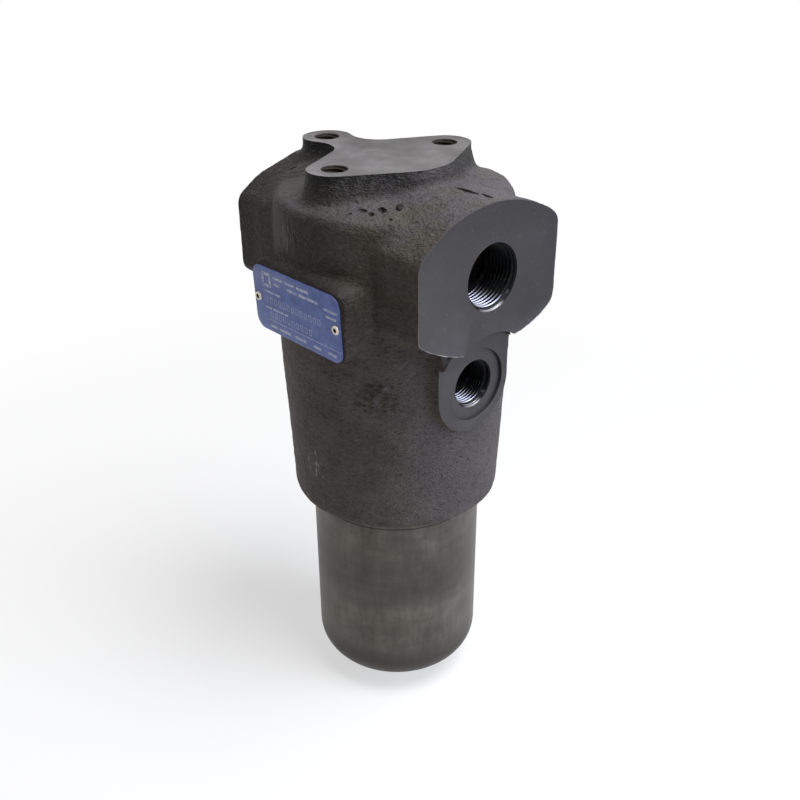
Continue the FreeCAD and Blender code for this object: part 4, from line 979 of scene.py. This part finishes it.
spring = make_piece("bypass_coil", spring_form, [spring_steel], "head", sharp_deg=60)
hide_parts("bypass_spring")
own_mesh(spring)

# %% [markdown]
# The other inner pieces keep their solids from the frame. Each gets the finish of what it is.

# %% Dress the inner pieces
INNER = {
    "bowl_o_ring": nitrile_rubber,
    "bowl_backup_ring": fluoropolymer,
    "valve_carrier": turned_steel,
    "carrier_o_ring": nitrile_rubber,
    "bypass_plate": turned_steel,
    "spring_retainer": turned_steel,
    "retainer_circlip": spring_steel,
    "element_top_cap": zinc_sheet,
    "element_bottom_cap": zinc_sheet,
    "element_core_tube": zinc_sheet,
    "element_pleats": filter_fleece,
    "element_outer_sleeve": woven_wire,
    "element_o_ring": nitrile_rubber,
}
for name, finish in INNER.items():
    mesh = nodes[name].data
    mesh.materials.clear()
    mesh.materials.append(finish)
print("dressed", len(INNER), "inner pieces")

# %% [markdown]
# The camera stands where the photographer stood: half a metre away, between the outlet and the
# plate, and well above the filter. It looks at the lower part of the head, a little to one side of
# the axis. The lens is a normal one for a sensor 36 mm wide, and the lengths are in millimetres.

# %% Camera
azimuth = math.radians(47.72)
elevation = math.radians(28.52)
roll = math.radians(-0.32)
distance = 463.05
target_height = 144.89
sideways = 2.03
back = Vector((
    math.sin(azimuth) * math.cos(elevation), -math.cos(azimuth) * math.cos(elevation), math.sin(elevation)))
right = Vector((math.cos(azimuth), math.sin(azimuth), 0))
up = back.cross(right)
camera_data = bpy.data.cameras.new("photo_camera")
camera_data.sensor_width = 36
camera_data.lens = 45.52
camera_data.clip_start = 0.01
camera = bpy.data.objects.new("photo_camera", camera_data)
bpy.context.scene.collection.objects.link(camera)
tilted_right = right * math.cos(roll) + up * math.sin(roll)
tilted_up = up * math.cos(roll) - right * math.sin(roll)
pose = Matrix((tilted_right, tilted_up, back)).transposed().to_4x4()
target = Vector((0, 0, target_height * MM))
pose.translation = target + back * distance * MM + right * sideways * MM
camera.matrix_world = pose
bpy.context.scene.camera = camera

# %% [markdown]
# The filter stands on a white floor before a white room. The floor takes a soft shadow at its foot
# and turns to pure white half a metre away. Both glow only towards the camera and in mirror images,
# so they don't light the iron from all sides. A lamp above shows the shapes, and a bluish one on
# the right gives the port faces their sheen.

# %% Floor and light
FLOOR_HALF_WIDTH = 3.0
floor_bm = bmesh.new()
bmesh.ops.create_grid(floor_bm, x_segments=1, y_segments=1, size=FLOOR_HALF_WIDTH)
floor_finish, tree, shader, place = new_finish("pale_floor")
fill(tree, shader, {"Base Color": "#f2f2f2", "Roughness": 0.9})


def looked_at(tree):
    """One where a ray from the camera, or its mirror image in metal or glass, arrives."""
    ray = add(tree, "ShaderNodeLightPath").outputs
    mirrored = add(tree, "ShaderNodeMath", [ray["Is Camera Ray"], ray["Is Glossy Ray"]], operation="MAXIMUM")
    return add(tree, "ShaderNodeMath", [mirrored, ray["Is Transmission Ray"]], operation="MAXIMUM")


glow = add(tree, "ShaderNodeEmission", {"Color": "#ffffff", "Strength": 1.0})
away = add(tree, "ShaderNodeVectorMath", [place], operation="LENGTH")
whiter = add(tree, "ShaderNodeMapRange", [away, 0.10, 0.50, 0.60, 1.0])
share = add(tree, "ShaderNodeMath", [looked_at(tree), whiter], operation="MULTIPLY")
floor_mix = add(tree, "ShaderNodeMixShader", [share, shader, glow])
fill(tree, tree.nodes["Material Output"], {"Surface": floor_mix})
floor = make_piece("floor", floor_bm, [floor_finish], None, smooth=False)

world = bpy.data.worlds.new("studio")
bpy.context.scene.world = world
world.use_nodes = True
tree = world.node_tree
studio = tree.nodes["Background"]
fill(tree, studio, {"Color": "#ffffff", "Strength": 0.15})
white = add(tree, "ShaderNodeBackground", {"Color": "#ffffff", "Strength": 1.0})
behind = add(tree, "ShaderNodeMixShader", [looked_at(tree), studio, white])
fill(tree, tree.nodes["World Output"], {"Surface": behind})


def softbox(name, place, size, watts, colour="#ffffff"):
    """A square lamp that looks at the middle of the filter."""
    lamp = bpy.data.lights.new(name, "AREA")
    lamp.shape = "SQUARE"
    lamp.size = size
    lamp.energy = watts
    lamp.color = linear(colour)[:3]
    holder = bpy.data.objects.new(name, lamp)
    holder.location = place
    aim = Vector((0, 0, 0.15)) - Vector(place)
    holder.rotation_mode = "QUATERNION"
    holder.rotation_quaternion = aim.to_track_quat("-Z", "Y")
    bpy.context.scene.collection.objects.link(holder)


softbox("top", (0.4, 0.12, 1.05), 0.6, 13.0)
softbox("right", (0.85, 0.45, 0.45), 0.5, 6.4, "#d3deff")
bpy.context.scene.view_settings.view_transform = "Standard"

# %% [markdown]
# The last step brings the scene up to date.

# %% Finish
bpy.context.view_layer.update()
